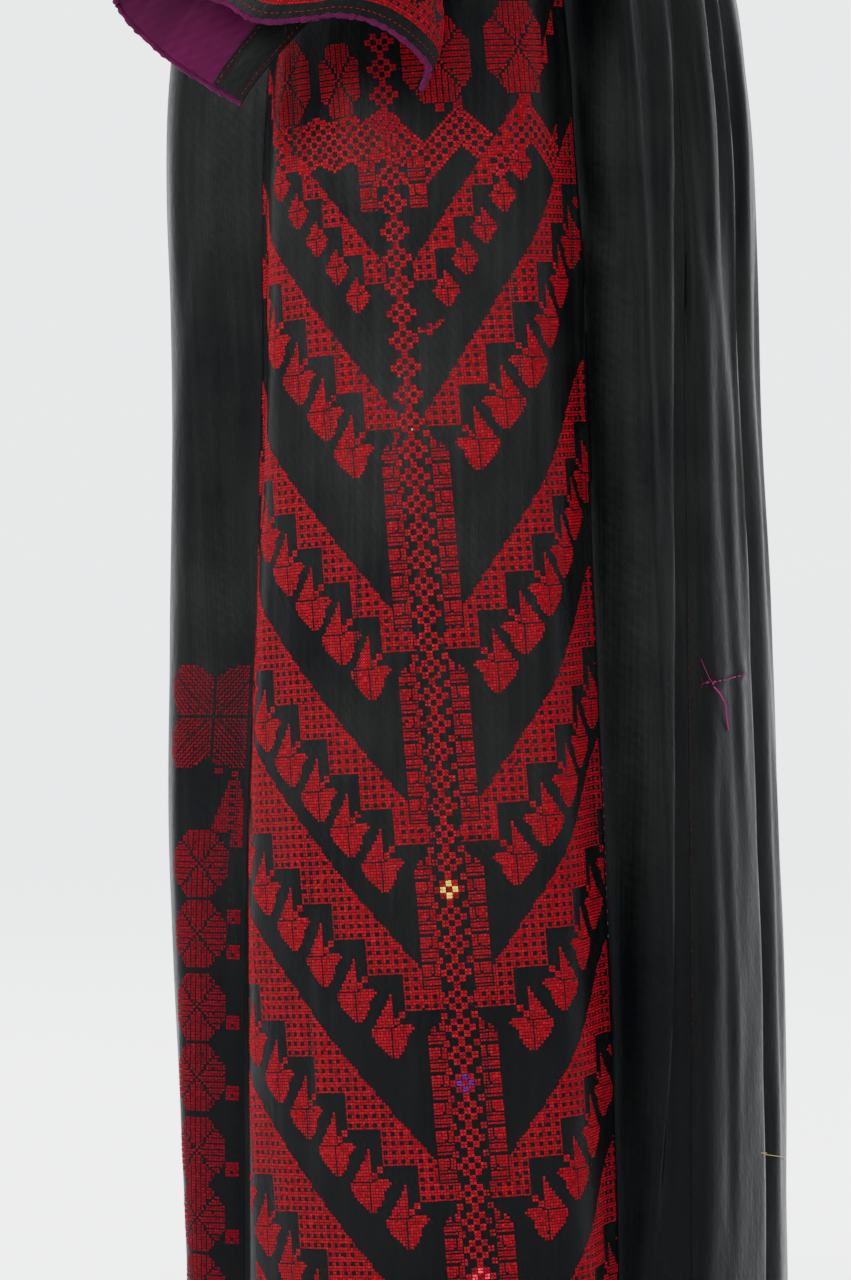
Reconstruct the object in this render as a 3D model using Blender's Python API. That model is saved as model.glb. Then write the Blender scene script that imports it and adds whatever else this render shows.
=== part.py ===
"""A palestinian thobe, the long black dress with cross-stitched side panels, worn by a figure that is left out.

Each cut piece of cloth is its own object: a wall between outer points on a fitted surface and inner points one
cloth thickness inside them. The wearer faces -Y, +Z is up, and the origin is the middle of the shoulder line.
"""

import math

import bpy
import numpy as np

# Driving sizes, in metres
DRESS_LENGTH = 1.34
CLOTH = 0.0014
LINING_CLOTH = 0.0010
SEAM_GAP = 0.0004
UNDERARM = -0.275
SHOULDER_TIP = (0.205, -0.055)
NECK_SIDE = (0.085, -0.008)
NECK_FRONT = (-0.088, -0.082)
NECK_BACK = (0.066, -0.026)
NECK_SHARE = 0.42
ARMHOLE_BULGE = 0.040
NECK_SLIT_WIDTH = 0.010
NECK_SLIT_SHARE = 0.30
SLIT_ANGLE = math.radians(140)
SLEEVE_SEAM = 0.004
MOUTH_RUN = (-0.010, -0.055, -0.095)
EDGING_RADIUS = 0.0015
EDGING_RETURN = 0.8
FOLD_GROWTH = 0.13
FOLD_FADE = 0.20
PLAIN_BEND = 25.0
BELOW_HEM = -DRESS_LENGTH - FOLD_FADE
FAR_SLEEVE_SWING = 0.9

# Cells across and down each piece
BODY_ROWS = 20
ROW_CROWDING = 1.3
YOKE_ROWS = 5
FRONT_CELLS = 18
BACK_CELLS = 26
GORE_CELLS = 9
SIDE_CELLS = 12
SLEEVE_CELLS = 30
SLEEVE_ROWS = 12
LINING_ROWS = 5
FACING_CELLS = 2

# The fitted section at each height: half width, and depth in front of and behind the shoulder line
SECTION_COLUMNS = ("height", "half_width", "front", "back")
SECTIONS = (
    (-1.340, 0.262, 0.165, 0.211),
    (-1.207, 0.257, 0.171, 0.210),
    (-1.080, 0.252, 0.177, 0.209),
    (-0.983, 0.248, 0.182, 0.206),
    (-0.849, 0.243, 0.182, 0.201),
    (-0.695, 0.238, 0.181, 0.193),
    (-0.500, 0.228, 0.184, 0.186),
    (-0.440, 0.216, 0.177, 0.178),
    (-0.380, 0.206, 0.164, 0.160),
    (-0.275, 0.222, 0.150, 0.142),
)

# Where the upright seams run at each height, in degrees round the body from the front middle
SEAM_COLUMNS = ("height", "side_front", "side_back", "gore_back")
SEAMS = (
    (-1.340, 28.5, 125.0, 132.5),
    (-1.065, 33.0, 122.0, 134.2),
    (-0.850, 38.3, 120.3, 136.3),
    (-0.700, 40.0, 119.5, 138.2),
    (-0.560, 42.5, 118.0, 139.2),
    (-0.420, 46.5, 115.0, 137.0),
    (-0.350, 52.0, 113.0, 129.0),
    (-0.275, 62.0, 110.0, 118.0),
)

# Upright folds: place in degrees at the underarm and hem, where each one begins and ends, its depth inwards (less
# than nothing for the two front corners, which stand out), and how far it reaches towards the front and the back
FOLD_COLUMNS = ("angle_top", "angle_hem", "begins", "ends", "depth", "reach_front", "reach_back")
FOLDS = (
    (28.0, 24.0, -0.36, BELOW_HEM, -0.013, 0.070, 0.040),
    (47.5, 30.0, -0.36, BELOW_HEM, 0.020, 0.045, 0.050),
    (115.5, 125.0, -0.34, BELOW_HEM, 0.032, 0.075, 0.026),
    (127.0, 128.0, -0.33, -0.70, 0.005, 0.012, 0.026),
    (139.5, 127.5, -0.38, BELOW_HEM, 0.013, 0.013, 0.034),
    (148.5, 153.0, -0.33, -0.72, 0.007, 0.012, 0.016),
    (156.5, 157.0, -0.33, BELOW_HEM, 0.012, 0.013, 0.032),
    (176.0, 178.0, -0.36, BELOW_HEM, 0.010, 0.024, 0.036),
    (199.0, 197.0, -0.33, BELOW_HEM, 0.013, 0.036, 0.014),
    (210.0, 214.0, -0.33, -0.80, 0.008, 0.020, 0.014),
    (221.0, 229.0, -0.38, BELOW_HEM, 0.014, 0.036, 0.015),
    (244.5, 235.5, -0.34, BELOW_HEM, 0.032, 0.028, 0.075),
    (311.0, 328.0, -0.38, BELOW_HEM, 0.022, 0.050, 0.050),
    (332.0, 336.0, -0.36, BELOW_HEM, -0.013, 0.040, 0.070),
    (350.0, 346.0, -0.42, BELOW_HEM, 0.009, 0.036, 0.040),
)

# The sleeve's rings from the shoulder to the forearm: the centre, the half vector to the outer side, and the half
# vector to the back
RING_COLUMNS = ("place", "x", "y", "z", "out_x", "out_z", "back_y", "back_z")
RINGS = (
    (0.10, 0.246, 0.002, -0.178, 0.012, 0.092, 0.080, 0.000),
    (0.20, 0.266, 0.004, -0.216, 0.034, 0.060, 0.081, 0.000),
    (0.31, 0.277, 0.003, -0.259, 0.042, 0.028, 0.082, -0.010),
    (0.43, 0.280, -0.010, -0.301, 0.043, 0.008, 0.079, -0.020),
    (0.56, 0.282, -0.028, -0.336, 0.042, 0.002, 0.074, -0.030),
    (0.68, 0.281, -0.047, -0.366, 0.041, 0.000, 0.068, -0.036),
    (0.80, 0.279, -0.066, -0.395, 0.040, 0.000, 0.062, -0.038),
)

# The sleeve's open edge, from the slit's outer corner round the back, outer side, front and inner side to the
# slit's inner corner
MOUTH_COLUMNS = ("round", "x", "y", "z")
MOUTH = (
    (0.00, 0.260, -0.021, -0.524),
    (0.05, 0.270, -0.017, -0.514),
    (0.11, 0.286, -0.029, -0.501),
    (0.17, 0.298, -0.048, -0.490),
    (0.24, 0.307, -0.071, -0.486),
    (0.31, 0.310, -0.094, -0.489),
    (0.37, 0.307, -0.118, -0.489),
    (0.43, 0.300, -0.136, -0.478),
    (0.48, 0.294, -0.150, -0.472),
    (0.55, 0.282, -0.174, -0.457),
    (0.62, 0.266, -0.196, -0.446),
    (0.69, 0.252, -0.206, -0.460),
    (0.74, 0.243, -0.200, -0.476),
    (0.80, 0.238, -0.187, -0.490),
    (0.87, 0.236, -0.168, -0.506),
    (0.93, 0.236, -0.148, -0.519),
    (1.00, 0.238, -0.129, -0.530),
)


def curve(at, places, values, slopes=None):
    """A smooth curve through values at ascending places: cubic pieces, whose slopes come from their neighbours."""
    at = np.clip(np.asarray(at, float), places[0], places[-1])
    places, values = np.asarray(places, float), np.asarray(values, float)
    if slopes is None:
        slopes = np.gradient(values, places, axis=0)
    piece = np.clip(np.searchsorted(places, at, side="right") - 1, 0, len(places) - 2)
    step = places[piece + 1] - places[piece]
    t = (at - places[piece]) / step
    if values.ndim > 1:
        t, step = t[..., None], step[..., None]
    return (
        (1 + 2 * t) * (1 - t) ** 2 * values[piece]
        + t * (1 - t) ** 2 * step * slopes[piece]
        + t**2 * (3 - 2 * t) * values[piece + 1]
        + t**2 * (t - 1) * step * slopes[piece + 1]
    )


def eased(share):
    """A share from 0 to 1 that starts and ends gently."""
    share = np.clip(share, 0, 1)
    return share * share * (3 - 2 * share)


def column(table, names, name):
    """One named column of a table."""
    return [row[names.index(name)] for row in table]


def section(height, name):
    """A section size at a height."""
    return curve(height, column(SECTIONS, SECTION_COLUMNS, "height"), column(SECTIONS, SECTION_COLUMNS, name))


def seam(height, name):
    """A seam's angle at a height, in radians from the front middle."""
    return np.radians(curve(height, column(SEAMS, SEAM_COLUMNS, "height"), column(SEAMS, SEAM_COLUMNS, name)))


def fold_depth(angle, height):
    """How far all the folds together pull the cloth inwards at an angle and height."""
    depth = np.zeros(np.broadcast(angle, height).shape)
    girth = section(height, "half_width")
    share = np.clip((UNDERARM - height) / (UNDERARM + DRESS_LENGTH), 0, 1)
    for top, hem, begins, ends, deep, reach_front, reach_back in FOLDS:
        line = np.radians(top + (hem - top) * share)
        away = (angle - line + math.pi) % (2 * math.pi) - math.pi
        reach = np.where(away < 0, reach_front, reach_back) / girth
        grown = eased((begins - height) / FOLD_GROWTH) * eased((height - ends) / FOLD_FADE)
        depth += deep * grown * np.cos(np.clip(away / reach, -1, 1) * math.pi / 2) ** 2
    return depth


def body_point(angle, height):
    """A point of the dress below the underarm: an oval section, pulled in along its normal by the folds."""
    half_width = section(height, "half_width")
    depth = np.where(np.cos(angle) > 0, section(height, "front"), section(height, "back"))
    normal = np.stack([np.sin(angle) / half_width, -np.cos(angle) / depth], -1)
    normal /= np.linalg.norm(normal, axis=-1, keepdims=True)
    pulled = fold_depth(angle, height)[..., None] * normal
    oval = np.stack([half_width * np.sin(angle), -depth * np.cos(angle)], -1)
    return np.concatenate([oval - pulled, np.broadcast_to(height, oval.shape[:-1])[..., None]], -1)


def neck_line(across, is_front):
    """The top edge of a front or back panel: shoulder seam, neckline, shoulder seam."""
    side = np.abs(across)
    shoulder = np.clip((side - NECK_SHARE) / (1 - NECK_SHARE), 0, 1)
    round_neck = np.clip(side / NECK_SHARE, 0, 1) * math.pi / 2
    dip_y, dip_z = NECK_FRONT if is_front else NECK_BACK
    on_neck = side < NECK_SHARE
    x = np.where(
        on_neck,
        NECK_SIDE[0] * np.sin(round_neck),
        NECK_SIDE[0] + (SHOULDER_TIP[0] - NECK_SIDE[0]) * shoulder,
    )
    y = np.where(on_neck, dip_y * np.cos(round_neck), 0.0)
    neck_z = NECK_SIDE[1] + (dip_z - NECK_SIDE[1]) * np.cos(round_neck) ** 1.5
    z = np.where(on_neck, neck_z, NECK_SIDE[1] + (SHOULDER_TIP[1] - NECK_SIDE[1]) * shoulder**1.3)
    y = y + (-SEAM_GAP / 2 if is_front else SEAM_GAP / 2)
    return np.stack([np.sign(across) * x, y, z], -1)


def yoke_point(across, rise, is_front):
    """A point between the underarm, at rise 0, and the shoulder, at rise 1. across is -1 to 1 between armholes."""
    gap = SEAM_GAP / 2 / section(UNDERARM, "half_width")
    if is_front:
        angle = across * (seam(UNDERARM, "side_front") - gap)
    else:
        angle = math.pi - across * (math.pi - seam(UNDERARM, "gore_back") - gap)
    low = body_point(angle, np.full(np.shape(across), UNDERARM))
    top = neck_line(across, is_front)
    point = low + (top - low) * np.stack([rise**1.5, rise**1.6, rise], -1)
    outwards = -1 if is_front else 1
    point[..., 1] += outwards * ARMHOLE_BULGE * np.abs(across) ** 3 * np.sin(math.pi * rise)
    return point


def grid_normals(points, closed=False):
    """Unit normals of a grid of points, the cross product of its two directions."""
    if closed:
        padded = np.concatenate([points[:, -2:-1], points, points[:, 1:2]], 1)
        along = (np.gradient(padded, axis=1))[:, 1:-1]
    else:
        along = np.gradient(points, axis=1)
    normals = np.cross(along, np.gradient(points, axis=0))
    return normals / np.linalg.norm(normals, axis=-1, keepdims=True)


def body_normals(angle, height):
    """Unit normals of the body surface, the same on both sides of a seam."""
    small = 0.0008
    girth = section(height, "half_width")
    round_it = body_point(angle + small / girth, height) - body_point(angle - small / girth, height)
    upwards = body_point(angle, height + small) - body_point(angle, height - small)
    normals = np.cross(round_it, upwards)
    return normals / np.linalg.norm(normals, axis=-1, keepdims=True)


def heights():
    """The body's rows from the hem to the underarm, closer together towards the top, where the folds begin."""
    share = np.linspace(1, 0, BODY_ROWS + 1) ** ROW_CROWDING
    return UNDERARM - (UNDERARM + DRESS_LENGTH) * share


def crowded_angles(first, last, height, cells):
    """Angles from first to last at each height, closer together where the folds bend the cloth most."""
    fine = np.linspace(0, 1, 40 * cells + 1)[None, :]
    depth = fold_depth(first + (last - first) * fine, height)
    step = section(height, "half_width") * (last - first) / (40 * cells)
    bend = np.abs(np.gradient(np.gradient(depth, axis=1), axis=1)) / step**2
    near = np.ones(20 * 2 + 1) / 41
    bend = np.array([np.convolve(np.pad(row, 20, mode="edge"), near, mode="valid") for row in bend])
    weight = np.sqrt(bend + PLAIN_BEND)
    total = np.concatenate([np.zeros((len(weight), 1)), np.cumsum(weight[:, 1:] + weight[:, :-1], axis=1)], 1)
    total /= total[:, -1:]
    places = np.linspace(0, 1, cells + 1)
    share = np.array([np.interp(places, row, fine[0]) for row in total])
    return first + (last - first) * share


def body_grid(first, last, cells):
    """A body piece between two lines of angle: its outer points and their normals, rows from the hem up."""
    height = heights()[:, None]
    gap = SEAM_GAP / 2 / section(height, "half_width")
    on_seams = crowded_angles(first(height), last(height), height, cells)
    share = (on_seams - first(height)) / (last(height) - first(height))
    height = np.broadcast_to(height, on_seams.shape)
    return body_point(on_seams + gap * (1 - 2 * share), height), body_normals(on_seams, height)


def with_yoke(points, normals, is_front, across):
    """A front or back panel continued from the underarm to the shoulder seams and neckline."""
    rise = np.linspace(0, 1, YOKE_ROWS + 1)[1:, None]
    across = np.broadcast_to(across[None, :], (YOKE_ROWS, len(across)))
    yoke = yoke_point(across, np.broadcast_to(rise, across.shape), is_front)
    whole = np.concatenate([points, yoke], 0)
    found = grid_normals(whole)
    found[: len(normals)] = normals
    along = np.gradient(whole[-1], axis=0)
    upright = np.cross(along, (0, 1.0, 0))
    upright *= np.sign(upright[:, 2:3])
    upright /= np.linalg.norm(upright, axis=-1, keepdims=True)
    on_seam = np.abs(across[-1]) >= NECK_SHARE
    found[-1, on_seam] = upright[on_seam]
    return whole, found


def armhole_loop(angle):
    """The left armhole at an angle: 0 at the shoulder tip, half pi at the back, pi at the underarm."""
    angle = (np.asarray(angle, float) + math.pi) % (2 * math.pi) - math.pi
    corner = math.radians(140)
    rise = np.clip((corner - np.abs(angle)) / corner, 0, 1)
    under = np.clip((np.abs(angle) - corner) / (math.pi - corner), 0, 1)
    front = yoke_point(np.ones_like(angle), rise, True)
    back = yoke_point(np.ones_like(angle), rise, False)
    edge = np.where((angle < 0)[:, None], front, back)
    front_seam, back_seam = seam(UNDERARM, "side_front"), seam(UNDERARM, "gore_back")
    start = np.where(angle < 0, front_seam, back_seam)
    bottom = body_point(start + (math.pi / 2 - start) * under, np.full_like(angle, UNDERARM))
    loop = np.where((under > 0)[:, None], bottom, edge)
    middle = np.array([0.0, 0.0, (UNDERARM + SHOULDER_TIP[1]) / 2])
    inwards = (middle - loop) * (0, 1, 1)
    inwards /= np.linalg.norm(inwards, axis=-1, keepdims=True)
    return loop + SEAM_GAP * (inwards + (1, 0, 0))


def sleeve_point(round_it, down):
    """The left sleeve: 0 to 1 round it from the slit's outer edge to its inner edge, and 0 to 1 down its length."""
    angle = SLIT_ANGLE - SLEEVE_SEAM - 2 * (math.pi - SLEEVE_SEAM) * round_it
    rings, places = [armhole_loop(angle)], [0.0]
    for place, x, y, z, out_x, out_z, back_y, back_z in RINGS:
        out, back = np.cos(angle)[:, None], np.sin(angle)[:, None]
        rings.append(np.array([x, y, z]) + out * (out_x, 0, out_z) + back * (0, back_y, back_z))
        places.append(place)
    mouth = np.array([row[1:] for row in MOUTH])
    rings.append(curve(round_it, column(MOUTH, MOUTH_COLUMNS, "round"), mouth))
    places.append(1.0)
    rings = np.array(rings)
    slopes = np.gradient(rings, places, axis=0)
    slopes[-2] = (rings[-2] - rings[-3]) / (places[-2] - places[-3])
    slopes[-1] = np.array(MOUTH_RUN) / (places[-1] - places[-2])
    shape = (len(places), -1)
    return curve(down, places, rings.reshape(shape), slopes.reshape(shape)).reshape(len(down), -1, 3)


def sleeve_grid():
    """The left sleeve's points and outward normals, rows from the armhole to the open edge."""
    down = np.linspace(0, 1, SLEEVE_ROWS + 1)
    round_it = np.linspace(0, 1, SLEEVE_CELLS + 1)
    points = sleeve_point(round_it, down)
    small = 0.004
    ahead = sleeve_point(np.clip(round_it + small, 0, 1), down)
    behind = sleeve_point(np.clip(round_it - small, 0, 1), down)
    lower = sleeve_point(round_it, np.clip(down + small, 0, 1))
    upper = sleeve_point(round_it, np.clip(down - small, 0, 1))
    normals = np.cross(ahead - behind, lower - upper)
    normals[0] = (points[0] - points[0].mean(0)) * (0, 1, 1)
    return points, normals / np.linalg.norm(normals, axis=-1, keepdims=True)


def material(name, colour, roughness):
    """A cloth material of one colour."""
    made = bpy.data.materials.new(name)
    made.use_nodes = True
    shader = made.node_tree.nodes["Principled BSDF"]
    shader.inputs["Base Color"].default_value = (*colour, 1)
    shader.inputs["Roughness"].default_value = roughness
    shader.inputs["Metallic"].default_value = 0.0
    return made


def wall(name, outer, inner, finish, open_cells=()):
    """A closed wall between two grids of points, with rims round its edge and round any cells left open."""
    rows, columns = outer.shape[0] - 1, outer.shape[1] - 1
    count = (rows + 1) * (columns + 1)

    def at(row, col, layer):
        return row * (columns + 1) + col + layer * count

    filled = np.ones((rows + 2, columns + 2), bool)
    filled[[0, -1], :] = False
    filled[:, [0, -1]] = False
    for row, col in open_cells:
        filled[row + 1, col + 1] = False
    faces = []
    for row in range(rows):
        for col in range(columns):
            if not filled[row + 1, col + 1]:
                continue
            corners = [(row, col), (row, col + 1), (row + 1, col + 1), (row + 1, col)]
            for half in (corners[:3], corners[2:] + corners[:1]):
                faces.append([at(*corner, 0) for corner in half])
                faces.append([at(*corner, 1) for corner in reversed(half)])
            beyond = [(row, col + 1), (row + 1, col + 2), (row + 2, col + 1), (row + 1, col)]
            for side, cell in enumerate(beyond):
                if not filled[cell]:
                    start, end = corners[side], corners[(side + 1) % 4]
                    faces.append([at(*end, 0), at(*start, 0), at(*start, 1), at(*end, 1)])
    mesh = bpy.data.meshes.new(name)
    points = np.concatenate([outer.reshape(-1, 3), inner.reshape(-1, 3)])
    mesh.from_pydata(points.tolist(), [], faces)
    return dressed(name, mesh, finish)


def dressed(name, mesh, finish):
    """An object for a closed mesh, its loose points dropped, its faces pointing out and shaded smooth."""
    import bmesh

    shape = bmesh.new()
    shape.from_mesh(mesh)
    bmesh.ops.delete(shape, geom=[point for point in shape.verts if not point.link_faces], context="VERTS")
    if shape.calc_volume(signed=True) < 0:
        bmesh.ops.reverse_faces(shape, faces=shape.faces)
    shape.to_mesh(mesh)
    shape.free()
    mesh.materials.append(finish)
    mesh.shade_smooth()
    mesh.set_sharp_from_angle(angle=math.radians(60))
    made = bpy.data.objects.new(name, mesh)
    bpy.data.collections["thobe"].objects.link(made)
    return made


def other_side(points):
    """The same points on the wearer's right, where the arm hangs further back."""
    swing = FAR_SLEEVE_SWING * np.clip(UNDERARM - points[..., 2], 0, None) ** 2
    return np.stack([-points[..., 0], points[..., 1] + swing, points[..., 2]], -1)


def build_body(black):
    """The front and back panels, the side panels and the two back gores."""
    turn = 2 * math.pi
    across = np.linspace(-1, 1, FRONT_CELLS + 2)
    middle = FRONT_CELLS // 2
    half = NECK_SLIT_WIDTH / 2 / 0.20
    outer_half = np.linspace(half, 1, middle + 1)
    across = np.concatenate([-outer_half[::-1], outer_half])
    height = heights()[:, None]
    gap = SEAM_GAP / 2 / section(height, "half_width")
    on_seams = across[None, :] * seam(height, "side_front")
    height = np.broadcast_to(height, on_seams.shape)
    points = body_point(on_seams - across * gap, height)
    points, normals = with_yoke(points, body_normals(on_seams, height), True, across)
    rows = len(points) - 1
    slit_rows = max(1, round(NECK_SLIT_SHARE * rows / 2))
    slit = [(row, middle) for row in range(rows - slit_rows, rows)]
    wall("front_panel", points, points - CLOTH * normals, black, slit)

    points, normals = body_grid(
        lambda z: seam(z, "gore_back"), lambda z: turn - seam(z, "gore_back"), BACK_CELLS
    )
    points, normals = with_yoke(points, normals, False, np.linspace(1, -1, BACK_CELLS + 1))
    wall("back_panel", points, points - CLOTH * normals, black)

    pieces = (
        ("side_panel_left", lambda z: seam(z, "side_front"), lambda z: seam(z, "side_back"), SIDE_CELLS),
        ("back_gore_left", lambda z: seam(z, "side_back"), lambda z: seam(z, "gore_back"), GORE_CELLS),
        ("back_gore_right", lambda z: turn - seam(z, "gore_back"), lambda z: turn - seam(z, "side_back"), GORE_CELLS),
        ("side_panel_right", lambda z: turn - seam(z, "side_back"), lambda z: turn - seam(z, "side_front"), SIDE_CELLS),
    )
    for name, first, last, cells in pieces:
        points, normals = body_grid(first, last, cells)
        wall(name, points, points - CLOTH * normals, black)


def build_sleeves(black, purple):
    """The two sleeves with their open slits, and the lining, slit facing and rolled edge at each mouth."""
    points, normals = sleeve_grid()
    seam_column = SLEEVE_CELLS - FACING_CELLS
    facing = slice(seam_column, None)
    lining = slice(None, seam_column + 1)
    below = slice(-LINING_ROWS - 1, None)
    outside = points - (CLOTH + SEAM_GAP) * normals
    inside = outside - LINING_CLOTH * normals
    across = points[:, seam_column + 1] - points[:, seam_column]
    parting = np.zeros_like(points)
    parting[:, seam_column] = SEAM_GAP * across / np.linalg.norm(across, axis=-1, keepdims=True)
    for side, turned in (("left", lambda place: place), ("right", other_side)):
        wall(f"sleeve_{side}", turned(points), turned(points - CLOTH * normals), black)
        layers = [turned(layer[below, lining]) for layer in (outside, inside)]
        wall(f"sleeve_lining_{side}", *layers, purple)
        layers = [turned((layer + parting)[below, facing]) for layer in (outside, inside)]
        wall(f"slit_facing_{side}", *layers, black)
        build_edging(f"sleeve_edging_{side}", (points + inside) / 2, normals, turned, purple)


def square_to(edge, normals, outwards):
    """Unit vectors in the cloth, square to its edge and pointing off it."""
    square = np.cross(edge, normals)
    square *= np.sign((square * outwards).sum(-1, keepdims=True))
    return square / np.linalg.norm(square, axis=-1, keepdims=True)


def build_edging(name, middle, normals, turned, purple):
    """The rolled edge: a thin tube just past the mouth's edge, turned up a little way along the slit."""
    reach = EDGING_RADIUS + 1.5 * SEAM_GAP
    downwards = square_to(np.gradient(middle[-1], axis=0), normals[-1], middle[-1] - middle[-2])
    hem = middle[-1] + reach * downwards
    upright = middle[-2:, 0]
    beside = upright + reach * square_to(upright[1] - upright[0], normals[-2:, 0], upright - middle[-2:, 1])
    returned = beside[1] + EDGING_RETURN * (beside[0] - beside[1])
    off_slit = (beside[1] - upright[1]) / reach
    corner = upright[1] + reach * (off_slit + downwards[0]) / (1 + off_slit @ downwards[0])
    route = turned(np.concatenate([[returned, corner], hem[1:]]))
    line = bpy.data.curves.new(name + "_line", "CURVE")
    line.dimensions = "3D"
    line.bevel_depth = EDGING_RADIUS
    line.bevel_resolution = 1
    line.use_fill_caps = True
    spline = line.splines.new("POLY")
    spline.points.add(len(route) - 1)
    for point, place in zip(spline.points, route):
        point.co = (*place, 1)
    guide = bpy.data.objects.new(name + "_line", line)
    bpy.context.scene.collection.objects.link(guide)
    bpy.context.view_layer.update()
    mesh = bpy.data.meshes.new_from_object(guide.evaluated_get(bpy.context.evaluated_depsgraph_get()))
    bpy.data.objects.remove(guide)
    mesh.materials.clear()
    weld(mesh)
    mesh.name = name
    dressed(name, mesh, purple)


def weld(mesh):
    """Joins a tube's caps to its sides."""
    import bmesh

    shape = bmesh.new()
    shape.from_mesh(mesh)
    bmesh.ops.remove_doubles(shape, verts=shape.verts, dist=1e-6)
    shape.to_mesh(mesh)
    shape.free()


def main():
    for old in list(bpy.data.objects):
        bpy.data.objects.remove(old)
    bpy.context.scene.collection.children.link(bpy.data.collections.new("thobe"))
    black = material("black_satin", (0.012, 0.013, 0.014), 0.55)
    purple = material("purple_lining", (0.16, 0.012, 0.11), 0.45)
    build_body(black)
    build_sleeves(black, purple)


main()
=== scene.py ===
"""The looks of a palestinian thobe: black satin, cross-stitched side panels and purple-lined sleeves.

Every piece of cloth is a thin shell on its solid's own form, with listed creases. The stitches are
small pillows of thread set one by one on the cloth. The wearer faces -Y and +Z is up. Lengths are in metres.
"""

from __future__ import annotations

import logging
import math
from dataclasses import dataclass, field
from enum import Enum
from typing import Any, Callable, Sequence

import bpy
import numpy as np
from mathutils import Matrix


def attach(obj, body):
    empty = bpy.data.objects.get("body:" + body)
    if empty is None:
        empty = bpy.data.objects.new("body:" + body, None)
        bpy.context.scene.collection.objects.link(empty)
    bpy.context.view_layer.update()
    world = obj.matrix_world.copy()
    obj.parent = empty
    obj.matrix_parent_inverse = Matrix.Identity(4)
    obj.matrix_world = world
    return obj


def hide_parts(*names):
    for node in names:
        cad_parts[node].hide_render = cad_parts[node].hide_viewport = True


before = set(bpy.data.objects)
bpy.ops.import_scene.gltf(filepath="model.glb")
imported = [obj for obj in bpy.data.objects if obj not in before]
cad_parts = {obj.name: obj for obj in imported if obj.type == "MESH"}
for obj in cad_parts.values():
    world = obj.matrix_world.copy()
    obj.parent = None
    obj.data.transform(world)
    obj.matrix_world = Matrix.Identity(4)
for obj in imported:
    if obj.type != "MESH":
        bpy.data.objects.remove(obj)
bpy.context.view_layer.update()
LOG = logging.getLogger("thobe")

Array = np.ndarray
Line = Callable[[Array], Array]
Triple = tuple[float, float, float]
FoldRow = tuple[float, float, float, float, float, float]
Random = np.random.Generator
Finish = bpy.types.Material
Piece = bpy.types.Object
SIDES = ("left", "right")

DRESS_LENGTH = 1.34
CLOTH = 0.0014
LINING_CLOTH = 0.0010
SEAM_GAP = 0.0004
UNDERARM = -0.275
TURN = 2 * math.pi
STITCH = 0.00181
BELOW_HEM = -DRESS_LENGTH - 0.20


class Slot(Enum):
    """The record's finishes that the pieces take."""

    SATIN = "black_satin"
    LINING = "purple_lining"


def curve(at: Array, places: Sequence[float], values: Array, slopes: Array | None = None) -> Array:
    """A smooth curve of cubic pieces through values at ascending places.

    Args:
        at: where to read it.
        places: the places of the values.
        values: a value, or a row of them, for each place.
        slopes: the slope at each place, or those of its neighbours if left out.

    Returns:
        The curve's values, each the cubic between its two nearest places.
    """
    at = np.clip(np.asarray(at, float), places[0], places[-1])
    places, values = np.asarray(places, float), np.asarray(values, float)
    if slopes is None:
        slopes = np.gradient(values, places, axis=0)
    piece = np.clip(np.searchsorted(places, at, side="right") - 1, 0, len(places) - 2)
    step = places[piece + 1] - places[piece]
    t = (at - places[piece]) / step
    if values.ndim > 1:
        t, step = t[..., None], step[..., None]
    return (
        (1 + 2 * t) * (1 - t) ** 2 * values[piece]
        + t * (1 - t) ** 2 * step * slopes[piece]
        + t**2 * (3 - 2 * t) * values[piece + 1]
        + t**2 * (t - 1) * step * slopes[piece + 1]
    )


def eased(share: Array) -> Array:
    """A share from 0 to 1 that starts and ends gently: 3 s squared less 2 s cubed."""
    share = np.clip(share, 0, 1)
    return share * share * (3 - 2 * share)


def faded(share: Array, reach: float) -> Array:
    """Grows from 0 over the first part of a run and fades over the last, each of them reach long."""
    return eased(share / reach) * eased((1 - share) / reach)


def trough(away: Array, ridge: float, place: float) -> Array:
    """A trough of a bell's form at 0, and a lower ridge of a bell's form at a place beside it."""
    return ridge * np.exp(-((away - place) ** 2)) - np.exp(-(away**2))


def unit(vectors: Array) -> Array:
    """The same vectors, each one long."""
    return vectors / np.maximum(np.linalg.norm(vectors, axis=-1, keepdims=True), 1e-12)


@dataclass(frozen=True)
class Fold:
    """A deep upright fold: its line in degrees at the underarm and hem, then its ends, depth and reaches."""

    top: float
    hem: float
    begins: float
    ends: float
    depth: float
    reach_front: float
    reach_back: float


@dataclass(frozen=True)
class Crease:
    """A soft crease: its line in degrees at two heights, its depth and half width, and its bow in degrees."""

    top_angle: float
    low_angle: float
    top: float
    low: float
    depth: float
    width: float
    bow: float = 0.0

    def relief(self, angle: Array, height: Array, girth: Array) -> Array:
        """How far the crease lifts the cloth: a trough with a lower ridge on one side of it.

        Args:
            angle: radians round the body.
            height: metres.
            girth: the body's half width there.

        Returns:
            The lift in metres, fading out at both ends.
        """
        share = (height - self.top) / (self.low - self.top)
        line = self.top_angle + (self.low_angle - self.top_angle) * share + self.bow * np.sin(math.pi * share)
        away = ((angle - np.radians(line) + math.pi) % TURN - math.pi) * girth / self.width
        return self.depth * faded(share, 0.3) * trough(away, 0.45, 1.9)


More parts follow.
